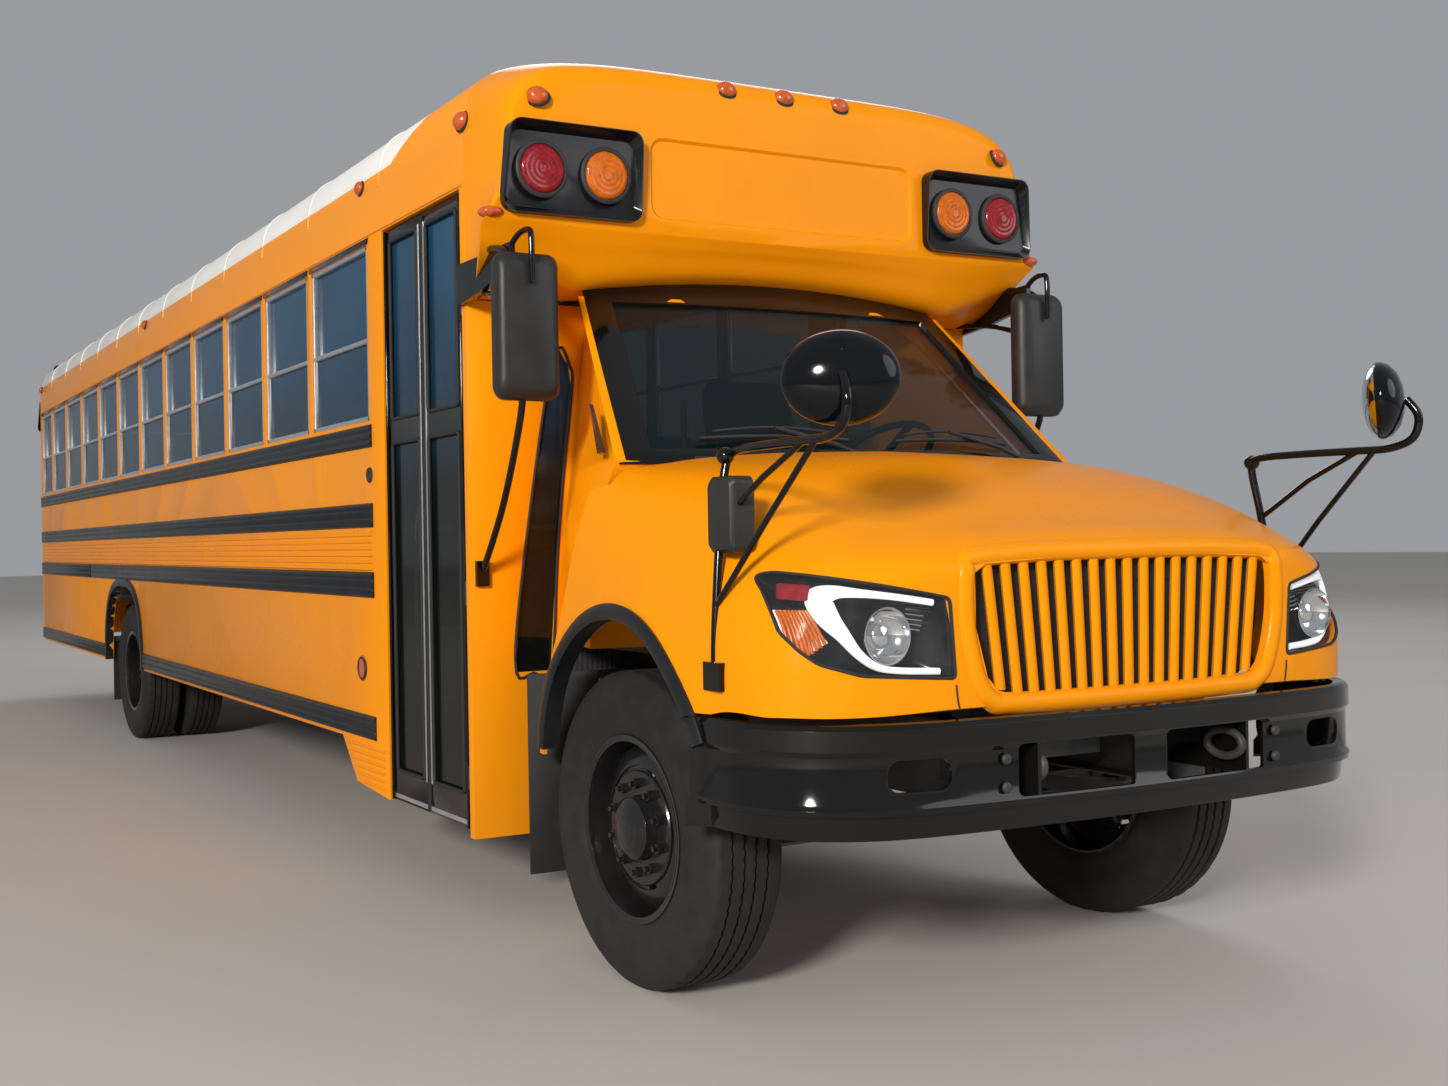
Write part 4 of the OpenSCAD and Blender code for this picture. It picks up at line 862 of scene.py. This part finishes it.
# window rubber round the driver's and the rear glass, latches on the sashes
rub = Geo()
rub.tube([(x, HALF + 1, z) for x, z in rounded(-1804, -1116, SILL - 44, HEAD + 4, 30)], 11, n=8, closed=True)
for s in SIDES:
    rub.tube([(BACK - 1, s * y, z) for y, z in rounded(464, 1086, 1944, 2566, 40)], 11, n=8, closed=True)
rub.obj("window_rubbers", "rubber", "body", "rubber", angle=60)
lat = Geo()
for s in SIDES:
    for a, b in WIN:
        m, z0, z1 = SILL + 0.46 * (HEAD - SILL), SILL + 1, HEAD - 1
        latches = [(x - 18, x + 18, -50, -38, m + 14, m + 26) for x in (a + 70, b - 70)]
        middle = [(a + 2, b - 2, -6, -2, m - 9, m + 5)]
        ends = [(a + 1, a + 20, -7, -3, z0, z1), (b - 20, b - 1, -7, -3, z0, z1),
                (a + 1, b - 1, -7, -3, z1 - 19, z1), (a + 1, b - 1, -7, -3, z0, z0 + 19)]
        for x0, x1, w0, w1, u0, u1 in latches + middle + ends:
            lat.box((x0, s * (HALF + w0), u0), (x1, s * (HALF + w1), u1))
lat.obj("sash_bars", "alu", "body", "aluminium", bevel=2)

# ------ windshield surround and wipers
def screen_pt(u, v, off):
    """A point on the glass: u from -1 to 1 across, v from 0 to 1 up, off outward."""
    zb, zt = 1722.0, 2336.0
    z = zb + (zt - zb) * v
    xb = -104 - 90 * u * u
    xt = -654 - 75 * u * u
    y = u * (985 * (1 - v) + 815 * v)
    x = xb * (1 - v) + xt * v
    return (x + off * 0.76, y, z + off * 0.65)


def border(t):
    """A walk round the glass edge."""
    t = t % 4
    e = 0.94
    if t < 1:
        return (-e + 2 * e * t, 0.0)
    if t < 2:
        return (e, t - 1)
    if t < 3:
        return (e - 2 * e * (t - 2), 1.0)
    return (-e, 4 - t)


sur = Geo()
steps = 96
rings = []
for k in range(steps):
    u, v = border(4.0 * k / steps)
    more = 0.10 * (1 - u * u) * max(0.0, 2 * v - 1)
    rings.append([screen_pt(max(-1.06, min(1.06, u * wide)), 0.5 + (v - 0.5) * tall + more * lift, off)
                  for wide, tall, lift, off in ((1.10, 1.12, 1, 8), (1.05, 1.06, 0.7, 17), (0.965, 0.95, 0, 12),
                                                (0.955, 0.94, 0, -2), (1.06, 1.10, 1, -6))])
rings.append(rings[0])
sur.loft(rings, caps=False)
sur.obj("windshield_surround", "black", "body", "black", angle=45)
wip = Geo()
for u0, u1 in ((-0.72, -0.10), (0.12, 0.72)):
    def over(t, v, off):
        return screen_pt(u0 + (u1 - u0) * t, v, off)
    bow = [(k / 8, math.sin(math.pi * k / 8)) for k in range(9)]
    wip.tube([over(t, 0.075 + 0.018 * w, 22) for t, w in bow], 7, n=8)
    wip.tube([over(0.08 + 0.84 * t, 0.10 + 0.03 * w, 36) for t, w in bow], 5, n=8)
    wip.tube([over(0.5, 0.125, 38), over(0.85, 0.03, 40), over(1.02, -0.02, 26)], 8, n=8)
    x, y, z = over(1.02, -0.02, 10)
    wip.cyl((x, y, z), (x + 16, y, z + 14), 20, 14, n=20)
wip.obj("wipers", "plastic", "body", "black", angle=40)
tri = Geo()
for s in SIDES:
    q = [(-250, 1046, 1735), (-330, 1018, 1735), (-430, 990, 1915), (-408, 1004, 1915)]
    tri.loft([[(x, s * y, z) for x, y, z in q], [(x + 4, s * (y - 14), z - 4) for x, y, z in q]])
tri.obj("corner_windows", "glass", "body", "glass")
slot_rub = Geo()
for s in SIDES:
    pts = loop([(1036, 940), (960, 934), (884, 940), (852, 1360), (818, 1700), (774, 2040), (785, 2120), (830, 2185),
                (893, 1980), (1012, 1250)], 4)
    slot_rub.tube([(BULK + 1, s * p[0], p[1]) for p in pts], 6, n=8, closed=True)
slot_rub.obj("bulkhead_window_rubbers", "rubber", "body", "rubber", angle=60)
vent = Geo()
for k in range(-6, 7):
    vent.box((-72 - k * k * 1.1, k * 120 - 45, 1702), (-64 - k * k * 1.1, k * 120 + 45, 1716))
vent.obj("cowl_vents", "plastic", "body", "black", bevel=2)


# ------ front bumper
BUMP = fine([(530, 1212), (760, 1202), (930, 1118), (1030, 975), (1075, 800), (1101, 500), (1113, 200), (1115, 0)], 5)
FRONT = list(reversed(BUMP))         # from the middle to the left end
BUMP += [(x, -y) for x, y in reversed(BUMP[:-1])]
face = [(-44, 930), (-20, 936), (-8, 932), (1, 919), (2, 862), (-8, 846), (-8, 724), (2, 706), (0, 690), (-20, 686),
        (-24, 640), (-28, 621), (-36, 621), (-34, 680), (-12, 698), (-19, 724), (-19, 846), (-10, 862), (-10, 905),
        (-20, 922), (-44, 920)]
rings = []
for i, (x, y) in enumerate(BUMP):
    n = normal_at(BUMP, i)
    n = n if n[0] >= 0 else -n
    rings.append([(x + n[0] * o, y + n[1] * o, z) for o, z in face])
g = Geo()
for s in SIDES:
    g.prism([(s * y, z) for y, z in rounded(722, 915, 750, 836, 36)], 900, 1200, "x")
    g.prism([(s * y, z) for y, z in rounded(66, 498, 712, 858, 14)], 1040, 1200, "x")
bumper = boolean(Geo().loft(rings), [g])
for s in SIDES:
    bumper.box((700, s * 418, 700), (1096, s * 430, 900))
bumper.obj("front_bumper_shell", "black", "body", "black", angle=32, bevel=1.5, replaces=["front_bumper"])
hw = Geo()
for s in SIDES:
    x = float(np.interp(547, [p[1] for p in FRONT], [p[0] for p in FRONT]))
    for z in (820, 742):
        hw.turned([(0.5, 8), (9, 8), (13, 6), (16, 1), (16, -2), (0.5, -2)], (x, s * 547, z), n=24, axis="x")
    hw.tube([(1030 + 62 * math.cos(a), s * 404.2, 786 + 40 * math.sin(a)) for a in angles(24)], 13, n=10, closed=True)
hw.obj("bumper_hardware", "chassis", "body", "chassis_black", angle=40)

# ------ entrance doors
for node, body, x0, x1, hinge in (("entrance_door_front", "entrance_leaf_front", -1422, -1034, 1),
                                  ("entrance_door_rear", "entrance_leaf_rear", -1818, -1434, -1)):
    g = Geo()
    y = -HALF + 14
    for z0, z1 in ((480, 1862), (1965, 2715)):
        g.tube([(x, y - 1, z) for x, z in rounded(x0 + 44, x1 - 44, z0, z1, 16)], 8, n=8, closed=True)
    edge_x = x0 + 3 if hinge == 1 else x1 - 3
    g.box((edge_x - 8, y - 4, 362), (edge_x + 8, y + 32, 2758))
    g.obj(node + "_seals", "rubber", body, "rubber", angle=50)
    g = Geo()
    ex = x0 + 22 if hinge == 1 else x1 - 22
    g.box((ex - 7, y - 3.5, 470), (ex + 7, y + 1, 2730))
    g.box((x0 + 8, y - 3, 362), (x1 - 8, y + 0.5, 380))
    g.obj(node + "_strips", "alu", body, "aluminium", bevel=1)
    g = Geo()
    for z in (500, 1200, 2300, 2640):
        hx = x1 + 6 if hinge == 1 else x0 - 6
        g.cyl((hx, y - 1, z), (hx, y - 1, z + 90), 9, n=16)
    ends = (x0 + 80, 1180, 1210), (x1 - 80, 1700, 1730)
    g.tube([(x, y + 46, z) for x, *zs in ends for z in zs], 10, n=10)
    for x, z in ((x0 + 80, 1185), (x1 - 80, 1725)):
        g.cyl((x, y + 28, z), (x, y + 46, z), 10, n=12)
    g.obj(node + "_rail_and_hinges", "plastic", body, "black", angle=50)

# ------ rear door fittings, tail lamps
g = Geo()
for z0, z1 in ((1950, 2520), (1330, 1780)):
    g.tube([(BACK - 1, y, z) for y, z in rounded(-250, 250, z0, z1, 30)], 12, n=8, closed=True)
g.obj("rear_door_rubbers", "rubber", "rear_exit_door", "rubber", angle=50)
g = Geo()
g.box((BACK - 7, 180, 1830), (BACK, 300, 1880))
g.tube([(BACK - 6, 285, 1855), (BACK - 30, 285, 1855), (BACK - 34, 200, 1855)], 8, n=10)
for z in (1250, 1850, 2450):
    g.cyl((BACK - 6, -337, z - 50), (BACK - 6, -337, z + 50), 9, n=14)
    g.box((BACK - 5, -337, z - 40), (BACK - 1, -260, z + 40))
g.obj("rear_door_handle_and_hinges", "plastic", "rear_exit_door", "black", bevel=1)

red_g, amb_g, clr_g, bas = Geo(), Geo(), Geo(), Geo()
for s in SIDES:
    for y, z, r, g in ((800, 1720, 84, red_g), (1040, 1720, 84, amb_g), (1000, 1380, 52, red_g),
                       (1000, 1200, 52, clr_g)):
        c = (BACK, s * y, z)
        base = [(0.5, -4), (r + 14, -4), (r + 14, 8), (r + 6, 14), (r, 12), (r, 2), (0.5, 2)]
        bas.turned(base, c, n=48, axis="x", s=-1)
        prof = [(r - 1, 0), (r - 1, 12), (r - 6, 18)]
        for j in range(int(r // 9) - 1):
            prof.append((r - 10 - j * 9, 20 + (1.6 if j % 2 else -0.4)))
        prof += [(0.5, 21), (0.5, 0), (r - 1, 0)]
        g.turned(prof, c, n=48, axis="x", s=-1)
bas.obj("tail_lamp_bases", "plastic", "body", "lamp_housing", angle=45, replaces=["tail_lights"])
red_g.obj("tail_lamps_red", "red", "body", "red_lens", angle=30)
amb_g.obj("tail_lamps_amber", "amber", "body", "amber_lens", angle=30)
clr_g.obj("tail_lamps_reverse", "led", "body", "lamp_glass", angle=30)

# ------ mirrors
mir, arm, gls = Geo(), Geo(), Geo()
for s in SIDES:
    # main mirror: tall box with soft corners, two faces looking back
    mir.loft([[(x, s * y, z) for y, z in rounded(1078 + e, 1320 - e * 0.5, 1928 + e, 2440 - e, 42)]
              for x, e in ((-538, 22), (-533, 8), (-518, 0), (-486, 0), (-466, 14), (-454, 40))])
    gls.prism([(s * y, z) for y, z in rounded(1130, 1308, 2145, 2414, 26)], -541, -537, "x")
    gls.prism([(s * y, z) for y, z in rounded(1130, 1308, 1946, 2120, 26)], -541, -537, "x")
    for pts, k, r in (([(BULK + 10, 1178, 2492), (-800, 1222, 2500), (-600, 1242, 2470), (-500, 1236, 2400)], 6, 14),
                      ([(BULK + 10, 1170, 2365), (-760, 1220, 2340), (-500, 1226, 2250)], 6, 11),
                      ([(-500, 1218, 2000), (-520, 1214, 1880), (-700, 1200, 1580), (BULK + 12, 1172, 1330)], 6, 13),
                      ([(-610, 1222, 2450), (-530, 1212, 2508), (-460, 1204, 2516), (-440, 1202, 2480),
                        (-440, 1202, 2330)], 5, 11)):
        arm.tube(fine([(x, s * y, z) for x, y, z in pts], k), r, n=12)
    arm.loft([[(x, s * y, z0), (x, s * (y - 24), z0), (x, s * (y - 24), z1), (x, s * y, z1)]
              for x, y, z0, z1 in ((BULK - 30, 1242, 2328, 2482), (-800, 1238, 2352, 2482),
                                   (-560, 1230, 2402, 2492))])
    arm.box((BULK, s * 1148, 1272), (BULK + 18, s * 1200, 1368))
mir.obj("side_mirror_housings", "grain", "body", "mirror_housing", angle=45, replaces=["side_mirrors"])
arm.obj("side_mirror_arms", "black", "body", "black", angle=50, bevel=1)
gls.obj("side_mirror_faces", "mirror", "body", "mirror_housing")
mir, arm, gls = Geo(), Geo(), Geo()
for s in SIDES:
    n = Vector((-0.83, -s * 0.55, -0.05)).normalized()
    q = n.to_track_quat("X", "Z").to_matrix()
    c = Vector((1098, s * 1092, 1845))
    # bowl and face of the cross-view mirror
    def ring(r, d):
        return [c + q @ Vector((d, math.cos(a) * r * 148, math.sin(a) * r * 119)) for a in angles(44)]
    mir.loft([ring(r, d) for r, d in ((1.0, 22), (1.05, 12), (1.04, -2), (0.96, -22), (0.74, -44), (0.4, -58),
                                      (0.08, -62))])
    gls.loft([ring(r, d) for r, d in ((0.97, 18), (0.94, 26), (0.84, 38), (0.64, 50), (0.36, 58), (0.05, 61))])
    foot = hood_y(660, 1060)
    pts = [(645, 1192, 1040), (628, 1176, 1200), (606, 1140, 1480), (594, 1112, 1640), (620, 1100, 1682),
           (760, 1112, 1690), (980, 1128, 1690), (1092, 1134, 1692), (1166, 1140, 1722), (1184, 1140, 1790),
           (1152, 1127, 1846)]
    arm.tube(fine([(x, s * y, z) for x, y, z in pts], 5), 13, n=12)
    for dy, dz in ((-58, -34), (58, -34), (-58, 38), (58, 38), (0, 62)):
        gls.ball(c + q @ Vector((-47, dy, dz)), 6, n=10, m=6)
    arm.tube([(980, s * 1128, 1686), (800, s * 1130, 1600), (612, s * 1140, 1480)], 9, n=10)
    arm.tube([(1040, s * 1130, 1688), (820, s * 1150, 1460), (632, s * 1172, 1250)], 9, n=10)
    arm.box((608, s * (foot - 30), 1010), (690, s * (foot + 14), 1090))
    arm.ball((594, s * 1112, 1672), 26, n=20, m=10)
mir.obj("cross_view_mirror_bowls", "bowl", "hood", "mirror_housing", angle=50, replaces=["fender_mirrors"])
gls.obj("cross_view_mirror_faces", "mirror", "hood", "mirror_housing", angle=60)
arm.obj("cross_view_mirror_arms", "black", "hood", "black", angle=50)
g = Geo()
g.loft([[(x, -y, z) for x, z in rounded(570 + e, 700 - e, 1395 + e, 1612 - e, 24)]
        for y, e in ((1082, 8), (1090, 0), (1152, 0), (1165, 10))])
g.obj("hood_intake_box", "grain", "hood", "black", angle=40)

# ------ stop sign
g, w = Geo(), Geo()
sign_x, sign_z, sign_r, lamp_r = -2470, 1740, 243, 170
turns = [math.pi / 8 + a for a in angles(8)]
for y0, y1 in ((1265, 1266.2), (1256.8, 1258)):
    w.loft([[(sign_x + r * math.cos(a), y, sign_z + r * math.sin(a)) for a in turns + turns[:1]]
            for r, y in ((sign_r, y0), (sign_r, y1), (sign_r * 0.93, y1), (sign_r * 0.93, y0), (sign_r, y0))],
           caps=False, closed=False)
w.obj("stop_sign_border", "signwhite", "stop_sign", "white")
for z in (sign_z - lamp_r, sign_z + lamp_r):
    g.turned([(0.5, 9), (20, 8), (32, 5), (38, 0), (38, -1), (0.5, -1)], (sign_x, 1266, z), n=32)
    g.turned([(0.5, 7), (20, 6), (32, 4), (38, 0), (38, -1), (0.5, -1)], (sign_x, 1258, z), n=32, s=-1)
g.obj("stop_sign_lamps", "red", "stop_sign", "sign_red", angle=40)

# ------ tyres and wheels

WALL = [(292, 109), (300, 116), (318, 126), (345, 131), (372, 134), (400, 140), (430, 139), (455, 135), (478, 128),
        (494, 119), (503, 110)]
TREAD = [(TYRE_R - down, w) for down, w in ((1.2, 104), (0, 98), (0, 69), (15, 66), (15, 60), (0, 57), (0, 26),
                                            (15, 23), (15, 17), (0, 14))]
LINING = [(299, -60), (310, -80), (400, -120), (480, -100), (482, 0), (480, 100), (400, 120), (310, 80), (299, 60)]
TYRE = WALL + TREAD + [(r, -w) for r, w in reversed(TREAD)] + [(r, -w) for r, w in reversed(WALL)] + LINING


def tyre(g, y, x, s, n=168):
    """Tyre of five ribs, the four grooves zigzag and the shoulders notched all round."""
    first, last, shoulder = len(WALL), len(WALL) + 2 * len(TREAD), 75
    rings = []
    for k, a in enumerate(angles(n)):
        zig = 2.2 if k % 2 else -2.2
        ring = []
        for i, (r, w) in enumerate(TYRE):
            tread = first <= i < last
            ww = w + (zig if tread and abs(w) < shoulder else 0)
            rr = r - (5 if tread and abs(w) > shoulder and k % 4 == 0 else 0)
            ring.append((x + rr * math.cos(a), y + s * ww, WHEEL_Z + rr * math.sin(a)))
        rings.append(ring)
    rings.append(rings[0])
    g.loft(rings, caps=False)


WHEELS = [("front_left", [TYRE_Y], 0.0, 1), ("front_right", [-TYRE_Y], 0.0, -1),
          ("rear_left", [1030, 710], REAR, 1), ("rear_right", [-1030, -710], REAR, -1)]
NUT_RING = 142.9
for name, ys, x, s in WHEELS:
    front, body, yc = "front" in name, "wheel_" + name, ys[0]
    g = Geo()
    for y in ys:
        tyre(g, y, x, s)
    node = name + ("_tyre" if front else "_tyres")
    g.obj(node + "_treads", "tyre", body, "tyre", angle=28, replaces=[node])
    d = Geo()
    if front:
        face_y = yc + s * 72
        hub = [(0.5, 66), (46, 65), (56, 61), (62, 52), (64, 30), (86, 24), (92, 14), (92, 0), (0.5, 0)]
        d.turned(hub, (x, face_y + s * 4, WHEEL_Z), n=64, s=s)
        plate = [(100, 0), (182, 0), (186, 6), (182, 11), (120, 12), (104, 8), (100, 0)]
        d.turned(plate, (x, face_y, WHEEL_Z), s=s)
        valve = [(x + 250, yc + s * 60, WHEEL_Z), (x + 262, yc + s * 96, WHEEL_Z)]
    else:
        face_y = s * 877
        hub = [(0.5, 212), (60, 210), (84, 204), (96, 190), (100, 160), (104, 20), (118, 8), (118, 0), (0.5, 0)]
        d.turned(hub, (x, face_y, WHEEL_Z), n=64, s=s)
        for a in angles(8):
            cx, cz = x + 74 * math.cos(a), WHEEL_Z + 74 * math.sin(a)
            d.cyl((cx, face_y + s * 200, cz), (cx, face_y + s * 213, cz), 11, n=6)
        valve = [(x + 262, yc + s * 20, WHEEL_Z), (x + 250, yc + s * 80, WHEEL_Z)]
    for k in range(10):
        a = math.radians(18 + 36 * k)
        cx, cz = x + NUT_RING * math.cos(a), WHEEL_Z + NUT_RING * math.sin(a)
        d.cyl((cx, face_y + s * 2, cz), (cx, face_y + s * 30, cz), 17, 16, n=6)
        d.cyl((cx, face_y + s * 30, cz), (cx, face_y + s * 46, cz), 10, 9, n=14)
        d.turned([(16, 0), (23, 0), (23, 5), (17, 8), (16, 0)], (cx, face_y + s, cz), n=24, s=s)
    d.tube(valve, 5, n=8)
    d.obj(name + "_hub_and_nuts", "wheel", body, "wheel_paint", angle=38)
    rim = Geo()
    bead = [(286, 112), (301, 112), (303, 117), (301, 122), (286, 121), (282, 117), (286, 112)]
    dish = [(200, 77), (214, 76), (262, 50), (280, 30), (282, 28), (284, 70), (288, 70), (288, 22), (262, 42),
            (212, 70), (200, 72), (200, 77)]
    for prof in [bead, dish] if front else [bead]:
        rim.turned(prof, (x, yc, WHEEL_Z), n=96, s=s)
    rim.obj(name + "_rim_edges", "wheel", body, "wheel_paint", angle=60)

# ------ seats
def cushion(g, prof, y0, y1, crown, n=22, seams_at=(), puff=7.0):
    """Upholstered block swept from y0 to y1: crowned faces, pulled-in seams and ends."""
    p = [np.array(q, float) for q in prof]
    c = sum(p) / len(p)
    rings = []
    ends = [y0, y0 + 5, y0 + 14, y0 + 30, y1 - 30, y1 - 14, y1 - 5, y1]
    ys = sorted(set(ends + [y0 + (y1 - y0) * k / n for k in range(1, n)] +
                    [sy + d for sy in seams_at for d in (-9, -4, 0, 4, 9)]))
    for y in ys:
        e = min(y - y0, y1 - y)
        shrink = 26 * (1 - smooth(e / 30.0)) ** 2
        bulge = crown * (1 - ((y - (y0 + y1) / 2) / ((y1 - y0) / 2)) ** 2)
        dip = sum(puff * max(0.0, 1 - abs(y - sy) / 9.0) for sy in seams_at)
        ring = []
        for q in p:
            d = q - c
            length = max(np.linalg.norm(d), 60)
            k = 1 - (shrink + dip) / length + bulge / length * 0.5
            ring.append((c[0] + d[0] * k, y, c[1] + d[1] * k))
        rings.append(ring)
    g.loft(rings)


BENCH = fine([(80, 1490), (58, 1462), (66, 1418), (200, 1404), (420, 1410), (448, 1440), (446, 1490), (400, 1512),
              (300, 1508), (160, 1496), (80, 1490)], 3)[:-1]
BACKREST = fine([(6, 1412), (46, 1410), (58, 1500), (44, 1640), (28, 1800), (10, 1930), (-16, 2006), (-66, 2020),
                 (-96, 1985), (-88, 1860), (-58, 1700), (-22, 1540), (6, 1412)], 3)[:-1]
ROWS, ROW_PITCH = 11, 760
lo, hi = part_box("passenger_seats")
ROW_X = hi.x * MM - AX - 450
g, h = Geo(), Geo()
for i in range(ROWS):
    x = ROW_X - i * ROW_PITCH
    for s in SIDES:
        a, b = sorted((s * 176, s * 1144))
        cushion(g, [(x + u, v) for u, v in BENCH], a, b, 8, n=16, seams_at=((a + b) / 2,))
        thirds = (a + (b - a) * 0.34, a + (b - a) * 0.66)
        cushion(h, [(x + u, v) for u, v in BACKREST], a, b, 8, n=16, seams_at=thirds)
benches = g.obj("bench_cushions", "vinyl", "body", "seat_vinyl", angle=70, replaces=["passenger_seats"])
backs = h.obj("bench_backs", "vinyl", "body", "seat_vinyl", angle=70)
g, base = Geo(), Geo()
DX, DY = -1420, 520
sq = fine([(-128, 1338), (100, 1332), (270, 1336), (316, 1380), (292, 1436), (180, 1440), (0, 1420), (-126, 1424),
           (-148, 1380), (-128, 1338)], 3)[:-1]
bq = fine([(-134, 1428), (-78, 1432), (-92, 1560), (-134, 1800), (-176, 2000), (-198, 2130), (-240, 2164),
           (-276, 2128), (-262, 1950), (-238, 1780), (-212, 1560), (-190, 1440), (-134, 1428)], 3)[:-1]
cushion(g, [(DX + u, v) for u, v in sq], DY - 232, DY + 232, 10, n=16, seams_at=(DY - 130, DY + 130))
cushion(g, [(DX + u, v) for u, v in bq], DY - 222, DY + 222, 10, n=16, seams_at=(DY - 120, DY + 120))
driver = g.obj("driver_seat_cushions", "vinyl", "body", "seat_vinyl", angle=70, replaces=["driver_seat"])
lo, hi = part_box("driver_seat")
SEAT_FOOT = lo.z * MM
for k in range(5):
    w = 150 if k % 2 else 138
    base.box((DX - w + 40, DY - w, SEAT_FOOT + 1 + k * 62), (DX + w + 40, DY + w, SEAT_FOOT + 60 + k * 62))
base.obj("driver_seat_pedestal", "rubber", "body", "rubber", bevel=8, seg=3)

# grab rails and dash cluster
POST_X = -1905
g = Geo()
for s in SIDES:
    g.tube([(POST_X, s * 330, SEAT_FOOT), (POST_X, s * 330, 2100)], 16, n=12)
for y0, y1, z in ((-330, -1140, 1500), (-330, -1140, 2090), (330, 1140, 1560)):
    g.tube([(POST_X, y0, z), (POST_X, y1, z)], 14, n=12)
g.tube([(-1840, -1080, 900), (-1840, -1080, 1500), (-1860, -1000, 1900)], 14, n=12)
g.obj("grab_rails", "alu", "body", "aluminium", angle=60)
g = Geo()
g.loft([[(x, y, z) for y, z in rounded(*corners)]
        for x, corners in ((-470, (330, 710, 1620, 1740, 30)), (-420, (345, 695, 1630, 1728, 26)),
                           (-300, (400, 640, 1640, 1690, 20)))])
for y in (-200, 0, 200):
    g.box((-556, y - 70, 1560), (-548, y + 70, 1600))
g.obj("dash_cluster", "plastic", "body", "interior_plastic", bevel=4)

# ------ the CAD nodes that stay
KEEP = dict(
    chassis="frame_rails leaf_springs drive_shaft fuel_tank seat_frames",
    iron="front_axle rear_axle engine knuckle_left knuckle_right",
    wheel="front_left_rim front_right_rim rear_left_rims rear_right_rims",
    black="rear_bumper stop_arm_bracket entrance_door_front entrance_door_rear",
    yellow="right_side left_side rear_wall cowl rear_door",
    glass="window_glass entrance_glass_front entrance_glass_rear rear_door_glass",
    plastic="dashboard steering_wheel",
    clearglass="windshield", roof="roof", floor_in="floor", core="radiator", castalu="transmission", pipe="exhaust",
    alu="window_sashes", rail="rub_rails", rubber="mud_flaps", sign="stop_arm")
for mat, names in KEEP.items():
    for node in names.split():
        keep(node, M[mat], 0 if mat in ("glass", "clearglass") else 2.0)

# ------ floor, light and camera
floor_mat = material("studio_floor", (0.56, 0.53, 0.49), rough=0.85, vary=0.02, scale=0.6)
bpy.ops.mesh.primitive_plane_add(size=160, location=(0, 0, 0))
ground = bpy.context.object
ground.name = "studio_floor"
ground.data.materials.append(floor_mat)

world = bpy.data.worlds.new("studio")
bpy.context.scene.world = world
world.use_nodes = True
bg = world.node_tree.nodes["Background"]
bg.inputs["Color"].default_value = (0.84, 0.87, 0.92, 1)
bg.inputs["Strength"].default_value = 0.38


def area(name, loc, aim, size, power, color):
    d = bpy.data.lights.new(name, "AREA")
    d.shape = "DISK"
    d.size = size
    d.energy = power
    d.color = color
    o = bpy.data.objects.new(name, d)
    bpy.context.scene.collection.objects.link(o)
    o.location = loc
    o.rotation_euler = (Vector(aim) - Vector(loc)).to_track_quat("-Z", "Y").to_euler()


area("key", (19, -18, 9), (2, 0, 1.5), 4, 5500, (1.0, 0.95, 0.88))
area("fill", (18, 12, 9), (3, 0, 1.5), 12, 750, (0.95, 0.96, 1.0))
area("back", (-14, 12, 14), (-3, 0, 2), 12, 1000, (0.95, 0.97, 1.0))

yaw, pitch, roll = math.radians(153.006), math.radians(-0.043), math.radians(-0.979)
fw = Vector((math.cos(pitch) * math.cos(yaw), math.cos(pitch) * math.sin(yaw), math.sin(pitch)))
r0 = fw.cross(Vector((0, 0, 1))).normalized()
u0 = r0.cross(fw)
rv = r0 * math.cos(roll) + u0 * math.sin(roll)
uv = u0 * math.cos(roll) - r0 * math.sin(roll)
cam = bpy.data.cameras.new("camera")
cam.lens = 37.323
cam.sensor_width = 36
cam.shift_x = 0.1229
cam.clip_start = 0.05
cam.clip_end = 300
co = bpy.data.objects.new("camera", cam)
bpy.context.scene.collection.objects.link(co)
eye = (AX / MM + 4.187, -3.522, 1.435)
co.matrix_world = Matrix([(rv[i], uv[i], -fw[i], eye[i]) for i in range(3)] + [(0, 0, 0, 1)])
bpy.context.scene.camera = co
bpy.context.scene.view_settings.view_transform = "Standard"
